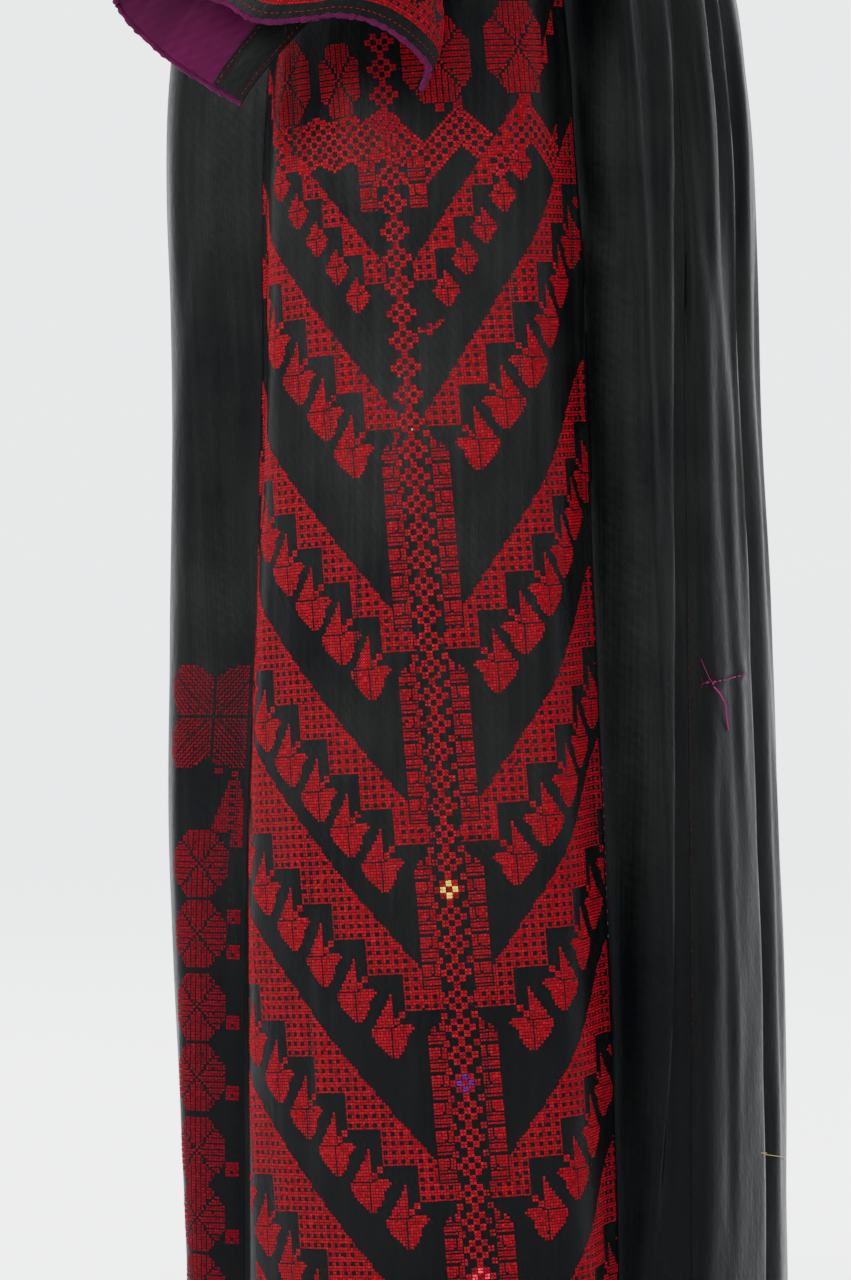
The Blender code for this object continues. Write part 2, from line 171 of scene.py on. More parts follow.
SECTION_COLUMNS = ("height", "half_width", "front", "back")
SECTIONS = (
    (-1.340, 0.262, 0.165, 0.211),
    (-1.207, 0.257, 0.171, 0.210),
    (-1.080, 0.252, 0.177, 0.209),
    (-0.983, 0.248, 0.182, 0.206),
    (-0.849, 0.243, 0.182, 0.201),
    (-0.695, 0.238, 0.181, 0.193),
    (-0.500, 0.228, 0.184, 0.186),
    (-0.440, 0.216, 0.177, 0.178),
    (-0.380, 0.206, 0.164, 0.160),
    (-0.275, 0.222, 0.150, 0.142),
)
SEAM_COLUMNS = ("height", "side_front", "side_back", "gore_back")
SEAMS = (
    (-1.340, 28.5, 125.0, 132.5),
    (-1.065, 33.0, 122.0, 134.2),
    (-0.850, 38.3, 120.3, 136.3),
    (-0.700, 40.0, 119.5, 138.2),
    (-0.560, 42.5, 118.0, 139.2),
    (-0.420, 46.5, 115.0, 137.0),
    (-0.350, 52.0, 113.0, 129.0),
    (-0.275, 62.0, 110.0, 118.0),
)
FOLD_COLUMNS = ("top", "hem", "begins", "ends", "depth", "reach_front", "reach_back")
FOLD_ROWS = (
    (28.0, 24.0, -0.36, BELOW_HEM, -0.013, 0.070, 0.040),
    (47.5, 30.0, -0.36, BELOW_HEM, 0.020, 0.045, 0.050),
    (115.5, 125.0, -0.34, BELOW_HEM, 0.032, 0.075, 0.026),
    (127.0, 128.0, -0.33, -0.70, 0.005, 0.012, 0.026),
    (139.5, 127.5, -0.38, BELOW_HEM, 0.013, 0.013, 0.034),
    (148.5, 153.0, -0.33, -0.72, 0.007, 0.012, 0.016),
    (156.5, 157.0, -0.33, BELOW_HEM, 0.012, 0.013, 0.032),
    (176.0, 178.0, -0.36, BELOW_HEM, 0.010, 0.024, 0.036),
    (199.0, 197.0, -0.33, BELOW_HEM, 0.013, 0.036, 0.014),
    (210.0, 214.0, -0.33, -0.80, 0.008, 0.020, 0.014),
    (221.0, 229.0, -0.38, BELOW_HEM, 0.014, 0.036, 0.015),
    (244.5, 235.5, -0.34, BELOW_HEM, 0.032, 0.028, 0.075),
    (311.0, 328.0, -0.38, BELOW_HEM, 0.022, 0.050, 0.050),
    (332.0, 336.0, -0.36, BELOW_HEM, -0.013, 0.040, 0.070),
    (350.0, 346.0, -0.42, BELOW_HEM, 0.009, 0.036, 0.040),
)
FOLDS = [Fold(**dict(zip(FOLD_COLUMNS, row))) for row in FOLD_ROWS]
CREASE_COLUMNS = ("top_angle", "low_angle", "top", "low", "depth", "width", "bow")
CREASE_ROWS = (
    # Left side panel, between the bands of stitches
    (66, 62, -0.62, -0.79, 0.0011, 0.006, 1.0),
    (72, 70, -0.74, -0.93, 0.0009, 0.005, -0.8),
    (83, 86, -0.86, -1.02, 0.0008, 0.006),
    (98, 101, -0.60, -0.74, 0.0010, 0.006, 0.8),
    (60, 57, -0.95, -1.17, 0.0011, 0.007, 1.2),
    (94, 97, -1.05, -1.27, 0.0009, 0.007, -1.0),
    (55, 58, -0.40, -0.60, 0.0010, 0.005),
    # Left gore and the back on the left
    (117.4, 122.2, -0.50, -0.63, 0.0022, 0.005, -1.2),
    (123.5, 124.5, -0.44, -0.80, 0.0020, 0.0045, 0.4),
    (124.6, 123.4, -0.84, -1.20, 0.0014, 0.005, -0.7),
    (130.2, 128.6, -0.47, -0.76, 0.0018, 0.0050, -0.5),
    (131.8, 131.0, -0.80, -1.12, 0.0013, 0.0060, 0.8),
    (136.2, 138.0, -0.44, -0.70, 0.0016, 0.0045, 0.6),
    (141.6, 143.8, -0.45, -0.66, 0.0022, 0.0050, -0.3),
    (140.2, 141.5, -0.90, -1.25, 0.0014, 0.0060, 0.9),
    (145.8, 147.4, -0.62, -1.02, 0.0016, 0.0065, -0.9),
    (152.4, 151.0, -0.50, -0.84, 0.0020, 0.0050, 0.7),
    (161.0, 160.0, -0.42, -0.71, 0.0018, 0.0060, -0.5),
    (163.5, 165.5, -0.82, -1.22, 0.0013, 0.0070, 0.8),
    (169.5, 168.0, -0.52, -0.93, 0.0016, 0.0060, -1.0),
    # The back on the right
    (184.0, 186.5, -0.40, -0.66, 0.0019, 0.0055, 0.5),
    (188.5, 187.0, -0.74, -1.18, 0.0014, 0.0065, -0.8),
    (195.0, 193.5, -0.45, -0.92, 0.0018, 0.0055, 0.6),
    (205.5, 206.0, -0.42, -0.75, 0.0020, 0.0050, -0.6),
    (204.5, 207.5, -0.86, -1.27, 0.0013, 0.0065, 0.9),
    (216.5, 219.0, -0.44, -0.82, 0.0019, 0.0050, 0.8),
    (222.5, 221.0, -0.88, -1.23, 0.0014, 0.0060, -0.7),
    (231.0, 230.2, -0.46, -0.87, 0.0018, 0.0050, 0.5),
    (238.5, 237.0, -0.52, -1.06, 0.0016, 0.0055, -0.6),
    # Right side panel
    (296, 301, -0.66, -0.86, 0.0010, 0.006, -0.9),
    (286, 288, -0.81, -1.00, 0.0009, 0.006, 0.8),
    (272, 269, -0.58, -0.78, 0.0010, 0.006),
    (263, 260, -0.97, -1.21, 0.0010, 0.007, 1.0),
    (304, 306, -0.98, -1.20, 0.0011, 0.007, -1.0),
    # Front
    (6, 8, -0.46, -0.83, 0.0018, 0.0080, 1.0),
    (14, 12, -0.62, -1.12, 0.0015, 0.0090, -1.2),
    (33, 28, -0.44, -0.68, 0.0016, 0.0055, 0.8),
    (35.5, 32, -0.62, -0.90, 0.0011, 0.0060, 0.6),
    (-9, -7, -0.50, -1.00, 0.0016, 0.0090, -1.1),
    (-17, -15, -0.45, -0.74, 0.0017, 0.0070, 0.9),
    (-30, -26, -0.48, -0.95, 0.0014, 0.0065, -0.8),
    (2, -1, -0.86, -1.24, 0.0013, 0.0100, 0.8),
)
CREASES = [Crease(**dict(zip(CREASE_COLUMNS, row))) for row in CREASE_ROWS]


@dataclass(frozen=True)
class Tuck:
    """A small tuck sewn across the back, to the left: its height at both ends, in degrees round the body."""

    first: float = 138.6
    last: float = 151.5
    first_height: float = -0.8768
    last_height: float = -0.8712
    lift: float = 0.0016
    spread: float = 0.010

    def height(self, degrees: Array) -> Array:
        """The tuck's height at an angle, along a straight line."""
        share = (degrees - self.first) / (self.last - self.first)
        return self.first_height + (self.last_height - self.first_height) * share

    def relief(self, angle: Array, height: Array) -> Array:
        """The lift of the doubled cloth, sharp below and fading away above the line of stitches."""
        degrees = np.degrees(angle)
        above = (height - self.height(degrees)) / self.spread
        across = eased((degrees - self.first) / 1.2) * eased((self.last - degrees) / 1.2)
        ridge, dip = np.exp(-(above**2)), -0.4 * np.exp(-((3 * above) ** 2))
        return self.lift * across * np.where(above > 0, ridge, dip)


@dataclass(frozen=True)
class DressForm:
    """The fitted surface below and above the underarm, on which every body piece lies."""

    tuck: Tuck = Tuck()
    fold_growth: float = 0.13
    fold_fade: float = 0.20
    shoulder_tip: tuple[float, float] = (0.205, -0.055)
    neck_side: tuple[float, float] = (0.085, -0.008)
    neck_front: tuple[float, float] = (-0.088, -0.082)
    neck_back: tuple[float, float] = (0.066, -0.026)
    neck_share: float = 0.42
    armhole_bulge: float = 0.040
    seam_dip: float = 0.0009
    seam_reach: float = 0.0026

    def section(self, height: Array, name: str) -> Array:
        """A section size at a height."""
        table = np.array(SECTIONS)
        return curve(height, table[:, 0], table[:, SECTION_COLUMNS.index(name)])

    def seam(self, height: Array, name: str) -> Array:
        """A seam's angle at a height, in radians from the front middle."""
        table = np.array(SEAMS)
        return np.radians(curve(height, table[:, 0], table[:, SEAM_COLUMNS.index(name)]))

    def fold_depth(self, angle: Array, height: Array) -> Array:
        """How far the deep folds pull the cloth inwards: a squared cosine across each fold's line."""
        depth = np.zeros(np.broadcast(angle, height).shape)
        girth = self.section(height, "half_width")
        share = np.clip((UNDERARM - height) / (UNDERARM + DRESS_LENGTH), 0, 1)
        for fold in FOLDS:
            line = np.radians(fold.top + (fold.hem - fold.top) * share)
            away = (angle - line + math.pi) % TURN - math.pi
            reach = np.where(away < 0, fold.reach_front, fold.reach_back) / girth
            grown = eased((fold.begins - height) / self.fold_growth)
            grown = grown * eased((height - fold.ends) / self.fold_fade)
            depth += fold.depth * grown * np.cos(np.clip(away / reach, -1, 1) * math.pi / 2) ** 2
        return depth

    def body_point(self, angle: Array, height: Array) -> Array:
        """A point below the underarm: an oval section, pulled in along its normal by the folds."""
        half_width = self.section(height, "half_width")
        depth = np.where(np.cos(angle) > 0, self.section(height, "front"), self.section(height, "back"))
        normal = unit(np.stack(np.broadcast_arrays(np.sin(angle) / half_width, -np.cos(angle) / depth), -1))
        pulled = self.fold_depth(angle, height)[..., None] * normal
        oval = np.stack(np.broadcast_arrays(half_width * np.sin(angle), -depth * np.cos(angle)), -1)
        return np.concatenate([oval - pulled, np.broadcast_to(height, oval.shape[:-1])[..., None]], -1)

    def body_normals(self, angle: Array, height: Array) -> Array:
        """Unit normals of the body surface, from short steps round it and up it."""
        small = 0.0008
        step = small / self.section(height, "half_width")
        round_it = self.body_point(angle + step, height) - self.body_point(angle - step, height)
        upwards = self.body_point(angle, height + small) - self.body_point(angle, height - small)
        return unit(np.cross(round_it, upwards))

    def relief(self, angle: Array, height: Array) -> Array:
        """How far creases, ripples, the tuck and the seams lift the cloth from the fitted surface."""
        girth = self.section(height, "half_width")
        lift = 0.0004 * np.sin(23 * angle + 9 * height + 1.1) * np.sin(21 * height + 3 * angle)
        lift = lift + 0.0003 * np.sin(41 * angle - 17 * height) * np.sin(33 * height - 5 * angle + 0.7)
        for crease in CREASES:
            lift = lift + crease.relief(angle, height, girth)
        lift = lift + self.tuck.relief(angle, height)
        for name in SEAM_COLUMNS[1:]:
            for line in (self.seam(height, name), TURN - self.seam(height, name)):
                away = ((angle - line + math.pi) % TURN - math.pi) * girth
                lift = lift - self.seam_dip * np.exp(-((away / self.seam_reach) ** 2))
                lift = lift + 0.5 * self.seam_dip * np.exp(-(((np.abs(away) - 0.006) / 0.003) ** 2))
        fade = eased((UNDERARM - height) / 0.05)
        return lift * fade

    def surface(self, angle: Array, height: Array) -> tuple[Array, Array]:
        """The creased cloth's outer points and the fitted surface's normals."""
        normals = self.body_normals(angle, height)
        return self.body_point(angle, height) + self.relief(angle, height)[..., None] * normals, normals

    def neck_line(self, across: Array, is_front: bool) -> Array:
        """The top edge of the front or back: shoulder seam, round neckline, shoulder seam."""
        side = np.abs(across)
        shoulder = np.clip((side - self.neck_share) / (1 - self.neck_share), 0, 1)
        round_neck = np.clip(side / self.neck_share, 0, 1) * math.pi / 2
        dip_y, dip_z = self.neck_front if is_front else self.neck_back
        on_neck = side < self.neck_share
        run_x = self.shoulder_tip[0] - self.neck_side[0]
        run_z = self.shoulder_tip[1] - self.neck_side[1]
        x = np.where(on_neck, self.neck_side[0] * np.sin(round_neck), self.neck_side[0] + run_x * shoulder)
        y = np.where(on_neck, dip_y * np.cos(round_neck), 0.0)
        neck_z = self.neck_side[1] + (dip_z - self.neck_side[1]) * np.cos(round_neck) ** 1.5
        z = np.where(on_neck, neck_z, self.neck_side[1] + run_z * shoulder**1.3)
        y = y + (-SEAM_GAP / 2 if is_front else SEAM_GAP / 2)
        return np.stack([np.sign(across) * x, y, z], -1)

    def yoke_point(self, across: Array, rise: Array, is_front: bool) -> Array:
        """A point between the underarm, at rise 0, and the shoulder, at rise 1, across from -1 to 1."""
        gap = SEAM_GAP / 2 / self.section(UNDERARM, "half_width")
        if is_front:
            angle = across * (self.seam(UNDERARM, "side_front") - gap)
        else:
            angle = math.pi - across * (math.pi - self.seam(UNDERARM, "gore_back") - gap)
        low = self.body_point(angle, np.full(np.shape(across), UNDERARM))
        top = self.neck_line(across, is_front)
        point = low + (top - low) * np.stack([rise**1.5, rise**1.6, rise], -1)
        outwards = -1 if is_front else 1
        point[..., 1] += outwards * self.armhole_bulge * np.abs(across) ** 3 * np.sin(math.pi * rise)
        return point

    def armhole_loop(self, angle: Array) -> Array:
        """The left armhole: 0 at the shoulder tip, half pi at the back, pi at the underarm."""
        angle = (np.asarray(angle, float) + math.pi) % TURN - math.pi
        corner = math.radians(140)
        rise = np.clip((corner - np.abs(angle)) / corner, 0, 1)
        under = np.clip((np.abs(angle) - corner) / (math.pi - corner), 0, 1)
        front = self.yoke_point(np.ones_like(angle), rise, True)
        back = self.yoke_point(np.ones_like(angle), rise, False)
        edge = np.where((angle < 0)[:, None], front, back)
        start = np.where(angle < 0, self.seam(UNDERARM, "side_front"), self.seam(UNDERARM, "gore_back"))
        bottom = self.body_point(start + (math.pi / 2 - start) * under, np.full_like(angle, UNDERARM))
        loop = np.where((under > 0)[:, None], bottom, edge)
        middle = np.array([0.0, 0.0, (UNDERARM + self.shoulder_tip[1]) / 2])
        return loop + SEAM_GAP * (unit((middle - loop) * (0, 1, 1)) + (1, 0, 0))


RINGS = (
    (0.10, 0.246, 0.002, -0.178, 0.012, 0.092, 0.080, 0.000),
    (0.20, 0.266, 0.004, -0.216, 0.034, 0.060, 0.081, 0.000),
    (0.31, 0.277, 0.003, -0.259, 0.042, 0.028, 0.082, -0.010),
    (0.43, 0.280, -0.010, -0.301, 0.043, 0.008, 0.079, -0.020),
    (0.56, 0.282, -0.028, -0.336, 0.042, 0.002, 0.074, -0.030),
    (0.68, 0.281, -0.047, -0.366, 0.041, 0.000, 0.068, -0.036),
    (0.80, 0.279, -0.066, -0.395, 0.040, 0.000, 0.062, -0.038),
)
MOUTH = (
    (0.00, 0.260, -0.021, -0.524),
    (0.05, 0.270, -0.017, -0.514),
    (0.11, 0.286, -0.029, -0.501),
    (0.17, 0.298, -0.048, -0.490),
    (0.24, 0.307, -0.071, -0.486),
    (0.31, 0.310, -0.094, -0.489),
    (0.37, 0.307, -0.118, -0.489),
    (0.43, 0.300, -0.136, -0.478),
    (0.48, 0.294, -0.150, -0.472),
    (0.55, 0.282, -0.174, -0.457),
    (0.62, 0.266, -0.196, -0.446),
    (0.69, 0.252, -0.206, -0.460),
    (0.74, 0.243, -0.200, -0.476),
    (0.80, 0.238, -0.187, -0.490),
    (0.87, 0.236, -0.168, -0.506),
    (0.93, 0.236, -0.148, -0.519),
    (1.00, 0.238, -0.129, -0.530),
)


@dataclass(frozen=True)
class SleeveForm:
    """The left sleeve's surface from the armhole to its open, slit mouth."""

    dress: DressForm
    slit_angle: float = math.radians(140)
    slit_gap: float = 0.004
    mouth_run: Triple = (-0.010, -0.055, -0.095)
    drags: tuple[FoldRow, ...] = (
        (0.10, 0.30, 0.16, 0.78, 0.0022, 0.020),
        (0.22, 0.42, 0.25, 0.90, 0.0016, 0.016),
        (0.36, 0.20, 0.33, 0.66, 0.0026, 0.022),
        (0.50, 0.34, 0.47, 0.88, 0.0018, 0.017),
        (0.63, 0.25, 0.66, 0.70, 0.0024, 0.022),
        (0.74, 0.38, 0.79, 0.95, 0.0018, 0.018),
        (0.88, 0.30, 0.90, 0.84, 0.0020, 0.018),
    )

    def points(self, round_it: Array, down: Array) -> Array:
        """Points at shares round and down the sleeve: a cubic through armhole, seven ovals and mouth."""
        angle = self.slit_angle - self.slit_gap - 2 * (math.pi - self.slit_gap) * round_it
        rings, places = [self.dress.armhole_loop(angle)], [0.0]
        out, back = np.cos(angle)[:, None], np.sin(angle)[:, None]
        for place, x, y, z, out_x, out_z, back_y, back_z in RINGS:
            rings.append(np.array([x, y, z]) + out * (out_x, 0, out_z) + back * (0, back_y, back_z))
            places.append(place)
        mouth = np.array(MOUTH)
        rings.append(curve(round_it, mouth[:, 0], mouth[:, 1:]))
        places.append(1.0)
        stack = np.array(rings)
        slopes = np.gradient(stack, places, axis=0)
        slopes[-2] = (stack[-2] - stack[-3]) / (places[-2] - places[-3])
        slopes[-1] = np.array(self.mouth_run) / (places[-1] - places[-2])
        shape = (len(places), -1)
        return curve(down, places, stack.reshape(shape), slopes.reshape(shape)).reshape(len(down), -1, 3)

    lining_creases: tuple[FoldRow, ...] = (
        (0.04, 0.62, 0.10, 0.99, 0.0016, 0.016),
        (0.18, 0.64, 0.13, 1.00, 0.0020, 0.014),
        (0.27, 0.60, 0.33, 0.96, 0.0018, 0.017),
        (0.42, 0.62, 0.38, 1.02, 0.0022, 0.014),
        (0.50, 0.60, 0.56, 1.00, 0.0026, 0.013),
        (0.65, 0.62, 0.61, 1.04, 0.0026, 0.012),
        (0.67, 0.58, 0.74, 1.02, 0.0032, 0.013),
        (0.80, 0.60, 0.77, 1.05, 0.0030, 0.012),
        (0.80, 0.58, 0.86, 0.98, 0.0026, 0.012),
    )

    def relief(self, round_it: Array, down: Array, folds: Sequence[FoldRow]) -> Array:
        """Folds down the sleeve, each a trough and a ridge across its line, and fine ripples.

        Args:
            round_it: shares round the sleeve.
            down: shares down it.
            folds: each one's shares round and down at both ends, its depth and its half width.

        Returns:
            The lift, none at the armhole and the mouth.
        """
        across, along = np.meshgrid(round_it, down)
        lift = 0.0006 * np.sin(17 * TURN * across + 5 * along) * np.sin(9 * along + 2)
        for first, begins, last, ends, depth, width in folds:
            share = (along - begins) / (ends - begins)
            away = (across - first - (last - first) * share) / width
            lift += depth * faded(share, 0.35) * trough(away, 0.5, 1.8)
        return lift * eased(along / 0.12) * eased((1 - along) / 0.06)

    def grid(self, cells: int, rows: int) -> tuple[Array, Array]:
        """The creased outer points and the fitted surface's outward normals, from armhole to mouth."""
        down = np.linspace(0, 1, rows + 1)
        round_it = np.linspace(0, 1, cells + 1)
        fitted = self.points(round_it, down)
        small = 0.004
        ahead = self.points(np.clip(round_it + small, 0, 1), down)
        behind = self.points(np.clip(round_it - small, 0, 1), down)
        lower = self.points(round_it, np.clip(down + small, 0, 1))
        upper = self.points(round_it, np.clip(down - small, 0, 1))
        normals = np.cross(ahead - behind, lower - upper)
        normals[0] = (fitted[0] - fitted[0].mean(0)) * (0, 1, 1)
        normals = unit(normals)
        return fitted + self.relief(round_it, down, self.drags)[..., None] * normals, normals

    @staticmethod
    def other_side(points: Array) -> Array:
        """The same points on the wearer's right, where the arm hangs further back."""
        swing = 0.9 * np.clip(UNDERARM - points[..., 2], 0, None) ** 2
        return np.stack([-points[..., 0], points[..., 1] + swing, points[..., 2]], -1)


@dataclass
class MeshParts:
    """A mesh as whole arrays: points, faces of three and four corners, and what each point carries."""

    points: Array
    quads: Array = field(default_factory=lambda: np.zeros((0, 4), int))
    tris: Array = field(default_factory=lambda: np.zeros((0, 3), int))
    flat: Array | None = None
    colours: Array | None = None

    def build(self, name: str, smooth: bool = True) -> Piece:
        """The object, at the origin, with a map of flat places in metres and colours where it has them.

        Args:
            name: the piece's name.
            smooth: whether its faces are shaded as one curved surface.

        Returns:
            The new object, in the scene.
        """
        mesh = bpy.data.meshes.new(name)
        corners = np.concatenate([self.quads.ravel(), self.tris.ravel()]).astype(np.int32)
        starts = np.concatenate(
            [np.arange(len(self.quads)) * 4, len(self.quads) * 4 + np.arange(len(self.tris)) * 3]
        ).astype(np.int32)
        mesh.vertices.add(len(self.points))
        mesh.vertices.foreach_set("co", self.points.astype(np.float32).ravel())
        mesh.loops.add(len(corners))
        mesh.loops.foreach_set("vertex_index", corners)
        mesh.polygons.add(len(starts))
        mesh.polygons.foreach_set("loop_start", starts)
        mesh.update(calc_edges=True)
        if self.flat is not None:
            layer = mesh.uv_layers.new(name="cloth")
            layer.data.foreach_set("uv", self.flat[corners].astype(np.float32).ravel())
        if self.colours is not None:
            layer = mesh.color_attributes.new("thread", "FLOAT_COLOR", "POINT")
            solid = np.concatenate([self.colours, np.ones((len(self.colours), 1))], 1)
            layer.data.foreach_set("color", solid.astype(np.float32).ravel())
        if smooth:
            mesh.shade_smooth()
            mesh.set_sharp_from_angle(angle=math.radians(62))
        made = bpy.data.objects.new(name, mesh)
        bpy.context.scene.collection.objects.link(made)
        return made

    @staticmethod
    def joined(parts: Sequence["MeshParts"]) -> "MeshParts":
        """Several meshes as one."""
        starts = np.cumsum([0] + [len(part.points) for part in parts[:-1]])
        return MeshParts(
            np.concatenate([part.points for part in parts]),
            np.concatenate([part.quads + start for part, start in zip(parts, starts)]),
            np.concatenate([part.tris + start for part, start in zip(parts, starts)]),
            None if parts[0].flat is None else np.concatenate([part.flat for part in parts]),
            None if parts[0].colours is None else np.concatenate([part.colours for part in parts]),
        )


def wall(outer: Array, inner: Array, flat: Array, filled: Array | None = None) -> MeshParts:
    """A closed wall of cloth between two grids of points, with rims round its edge and its openings.

    Args:
        outer: the outer face's points, rows by columns by three.
        inner: the inner face's points.
        flat: each point's place on the flat cloth, in metres.
        filled: which cells have cloth, or all of them if left out.

    Returns:
        The wall, its faces pointing out of the cloth.
    """
    rows, columns = outer.shape[0] - 1, outer.shape[1] - 1
    count = (rows + 1) * (columns + 1)
    index = np.arange(count).reshape(rows + 1, columns + 1)
    cloth = np.zeros((rows + 2, columns + 2), bool)
    cloth[1:-1, 1:-1] = True if filled is None else filled
    here = cloth[1:-1, 1:-1]
    a, b, c, d = index[:-1, :-1], index[:-1, 1:], index[1:, 1:], index[1:, :-1]
    faces = [np.stack([a, b, c, d], -1)[here], np.stack([d, c, b, a], -1)[here] + count]
    above, right, below, left = cloth[:-2, 1:-1], cloth[1:-1, 2:], cloth[2:, 1:-1], cloth[1:-1, :-2]
    sides = ((a, b, above), (b, c, right), (c, d, below), (d, a, left))
    for start, end, beyond in sides:
        edge = here & ~beyond
        faces.append(np.stack([end, start, start + count, end + count], -1)[edge])
    points = np.concatenate([outer.reshape(-1, 3), inner.reshape(-1, 3)])
    quads = np.concatenate(faces)
    facing = np.cross(outer[0, 1] - outer[0, 0], outer[1, 0] - outer[0, 0]) @ (outer[0, 0] - inner[0, 0])
    if facing < 0:
        quads = quads[:, ::-1]
    return MeshParts(points, quads, flat=np.concatenate([flat.reshape(-1, 2)] * 2))


def tube(path: Array, radius: Array, sides: int) -> MeshParts:
    """A round profile carried along a path, closed by a point at each end.

    Args:
        path: the middle line's points.
        radius: its radius at each of them.
        sides: how many sides the profile has.

    Returns:
        The tube, with its length and turn as its flat places.
    """
    along = unit(np.gradient(path, axis=0))
    helper = np.where(np.abs(along[:, 2:3]) > 0.8, np.array([[1.0, 0, 0]]), np.array([[0, 0, 1.0]]))
    side = unit(np.cross(along, helper))
    up = np.cross(side, along)
    turn = np.linspace(0, TURN, sides, endpoint=False)
    ring = np.cos(turn)[None, :, None] * side[:, None] + np.sin(turn)[None, :, None] * up[:, None]
    points = path[:, None] + ring * np.broadcast_to(radius, len(path))[:, None, None]
    count = len(path)
    index = np.arange(count * sides).reshape(count, sides)
    after = np.roll(index, -1, axis=1)
    quads = np.stack([index[:-1], after[:-1], after[1:], index[1:]], -1).reshape(-1, 4)
    ends = count * sides
    first = np.stack([after[0], index[0], np.full(sides, ends)], -1)
    last = np.stack([index[-1], after[-1], np.full(sides, ends + 1)], -1)
    length = np.concatenate([[0], np.cumsum(np.linalg.norm(np.diff(path, axis=0), axis=1))])
    flat = np.stack(np.broadcast_arrays(turn[None, :] / TURN * 0.01, length[:, None]), -1).reshape(-1, 2)
    points = np.concatenate([points.reshape(-1, 3), path[:1], path[-1:]])
    flat = np.concatenate([flat, [[0, 0], [0, length[-1]]]])
    return MeshParts(points, quads[:, ::-1], np.concatenate([first, last])[:, ::-1], flat)


def scattered(
    template: MeshParts, centres: Array, along: Array, across: Array, up: Array, colours: Array,
    shapes: Array | None = None,
) -> MeshParts:
    """Copies of a small mesh, each set in its own frame: centre + x along + y across + z up.

    Args:
        template: the small mesh, with its flat places.
        centres: where each copy goes.
        along: each copy's x direction, as long as its size that way.
        across: each copy's y direction.
        up: each copy's z direction.
        colours: each copy's thread colour.
        shapes: each copy's own points, where they aren't the small mesh's.

    Returns:
        All the copies as one mesh.
    """
    count, corners = len(centres), len(template.points)
    own = template.points[None] if shapes is None else shapes
    x, y, z = (own[..., axis, None] for axis in range(3))
    points = centres[:, None] + x * along[:, None] + y * across[:, None] + z * up[:, None]
    starts = (np.arange(count) * corners)[:, None, None]
    return MeshParts(
        points.reshape(-1, 3),
        (template.quads[None] + starts).reshape(-1, 4),
        (template.tris[None] + starts).reshape(-1, 3),
        np.tile(template.flat, (count, 1)),
        np.repeat(colours, corners, axis=0),
    )


class Thread(Enum):
    """The threads' colours, linear."""

    RED = (0.098, 0.0013, 0.0042)
    DARK_RED = (0.066, 0.0010, 0.0042)
    YELLOW = (0.420, 0.330, 0.020)
    VIOLET = (0.036, 0.003, 0.070)
    PINK = (0.380, 0.004, 0.030)
    STRAW = (0.170, 0.120, 0.055)
    PURPLE = (0.090, 0.005, 0.040)
    SEWING_RED = (0.085, 0.003, 0.003)
    BLACK = (0.003, 0.003, 0.003)


THREADS = list(Thread)

PILLOW = MeshParts(
    np.array([(-0.5, -0.5, -0.12), (0.5, -0.5, -0.12), (0.5, 0.5, -0.12), (-0.5, 0.5, -0.12), (0, 0, 1.0)]),
    tris=np.array([(0, 1, 4), (1, 2, 4), (2, 3, 4), (3, 0, 4)]),
    flat=np.array([(0, 0), (1, 0), (1, 1), (0, 1), (0.5, 0.5)], float),
)


def pillows(drawn_in: Array) -> Array:
    """Each stitch's own pillow, with its sides drawn in so that cloth shows beside it as in real work.

    Args:
        drawn_in: four rows: how far each side comes in, as a share of a stitch: low x, high x, low y, high y.

    Returns:
        Points, stitches by five by three, in each stitch's own frame.
    """
    low_x, high_x, low_y, high_y = drawn_in[0] - 0.5, 0.5 - drawn_in[1], drawn_in[2] - 0.5, 0.5 - drawn_in[3]
    deep, top = np.full(len(low_x), -0.12), np.ones(len(low_x))
    corners = [(low_x, low_y, deep), (high_x, low_y, deep), (high_x, high_y, deep), (low_x, high_y, deep)]
    corners.append(((low_x + high_x) / 2, (low_y + high_y) / 2, top))
    return np.stack([np.stack(corner, -1) for corner in corners], 1)


def dash_template() -> MeshParts:
    """One running stitch: a low round bar, pointed where it goes into the cloth."""
    ring = [(0.0, -0.5), (0.5, 0.25), (0.0, 1.0), (-0.5, 0.25)]
    points = [(-0.5, 0, -0.2)]
    points += [(x, y, z) for x in (-0.34, 0.34) for y, z in ring]
    points += [(0.5, 0, -0.2)]
    quads = [(1 + k, 1 + (k + 1) % 4, 5 + (k + 1) % 4, 5 + k) for k in range(4)]
    tris = [(0, 1 + (k + 1) % 4, 1 + k) for k in range(4)] + [(9, 5 + k, 5 + (k + 1) % 4) for k in range(4)]
    flat = np.array([(0.5, 0.5)] * 10, float)
    return MeshParts(np.array(points, float), np.array(quads), np.array(tris), flat)


DASH = dash_template()


def thread_colours(kinds: Array, rng: Random, spread: float = 0.16) -> Array:
    """Each stitch's own colour: its thread's colour, a little lighter or darker."""
    palette = np.array([thread.value for thread in THREADS])
    return palette[kinds] * (1 + spread * rng.standard_normal((len(kinds), 1))).clip(0.55, 1.5)


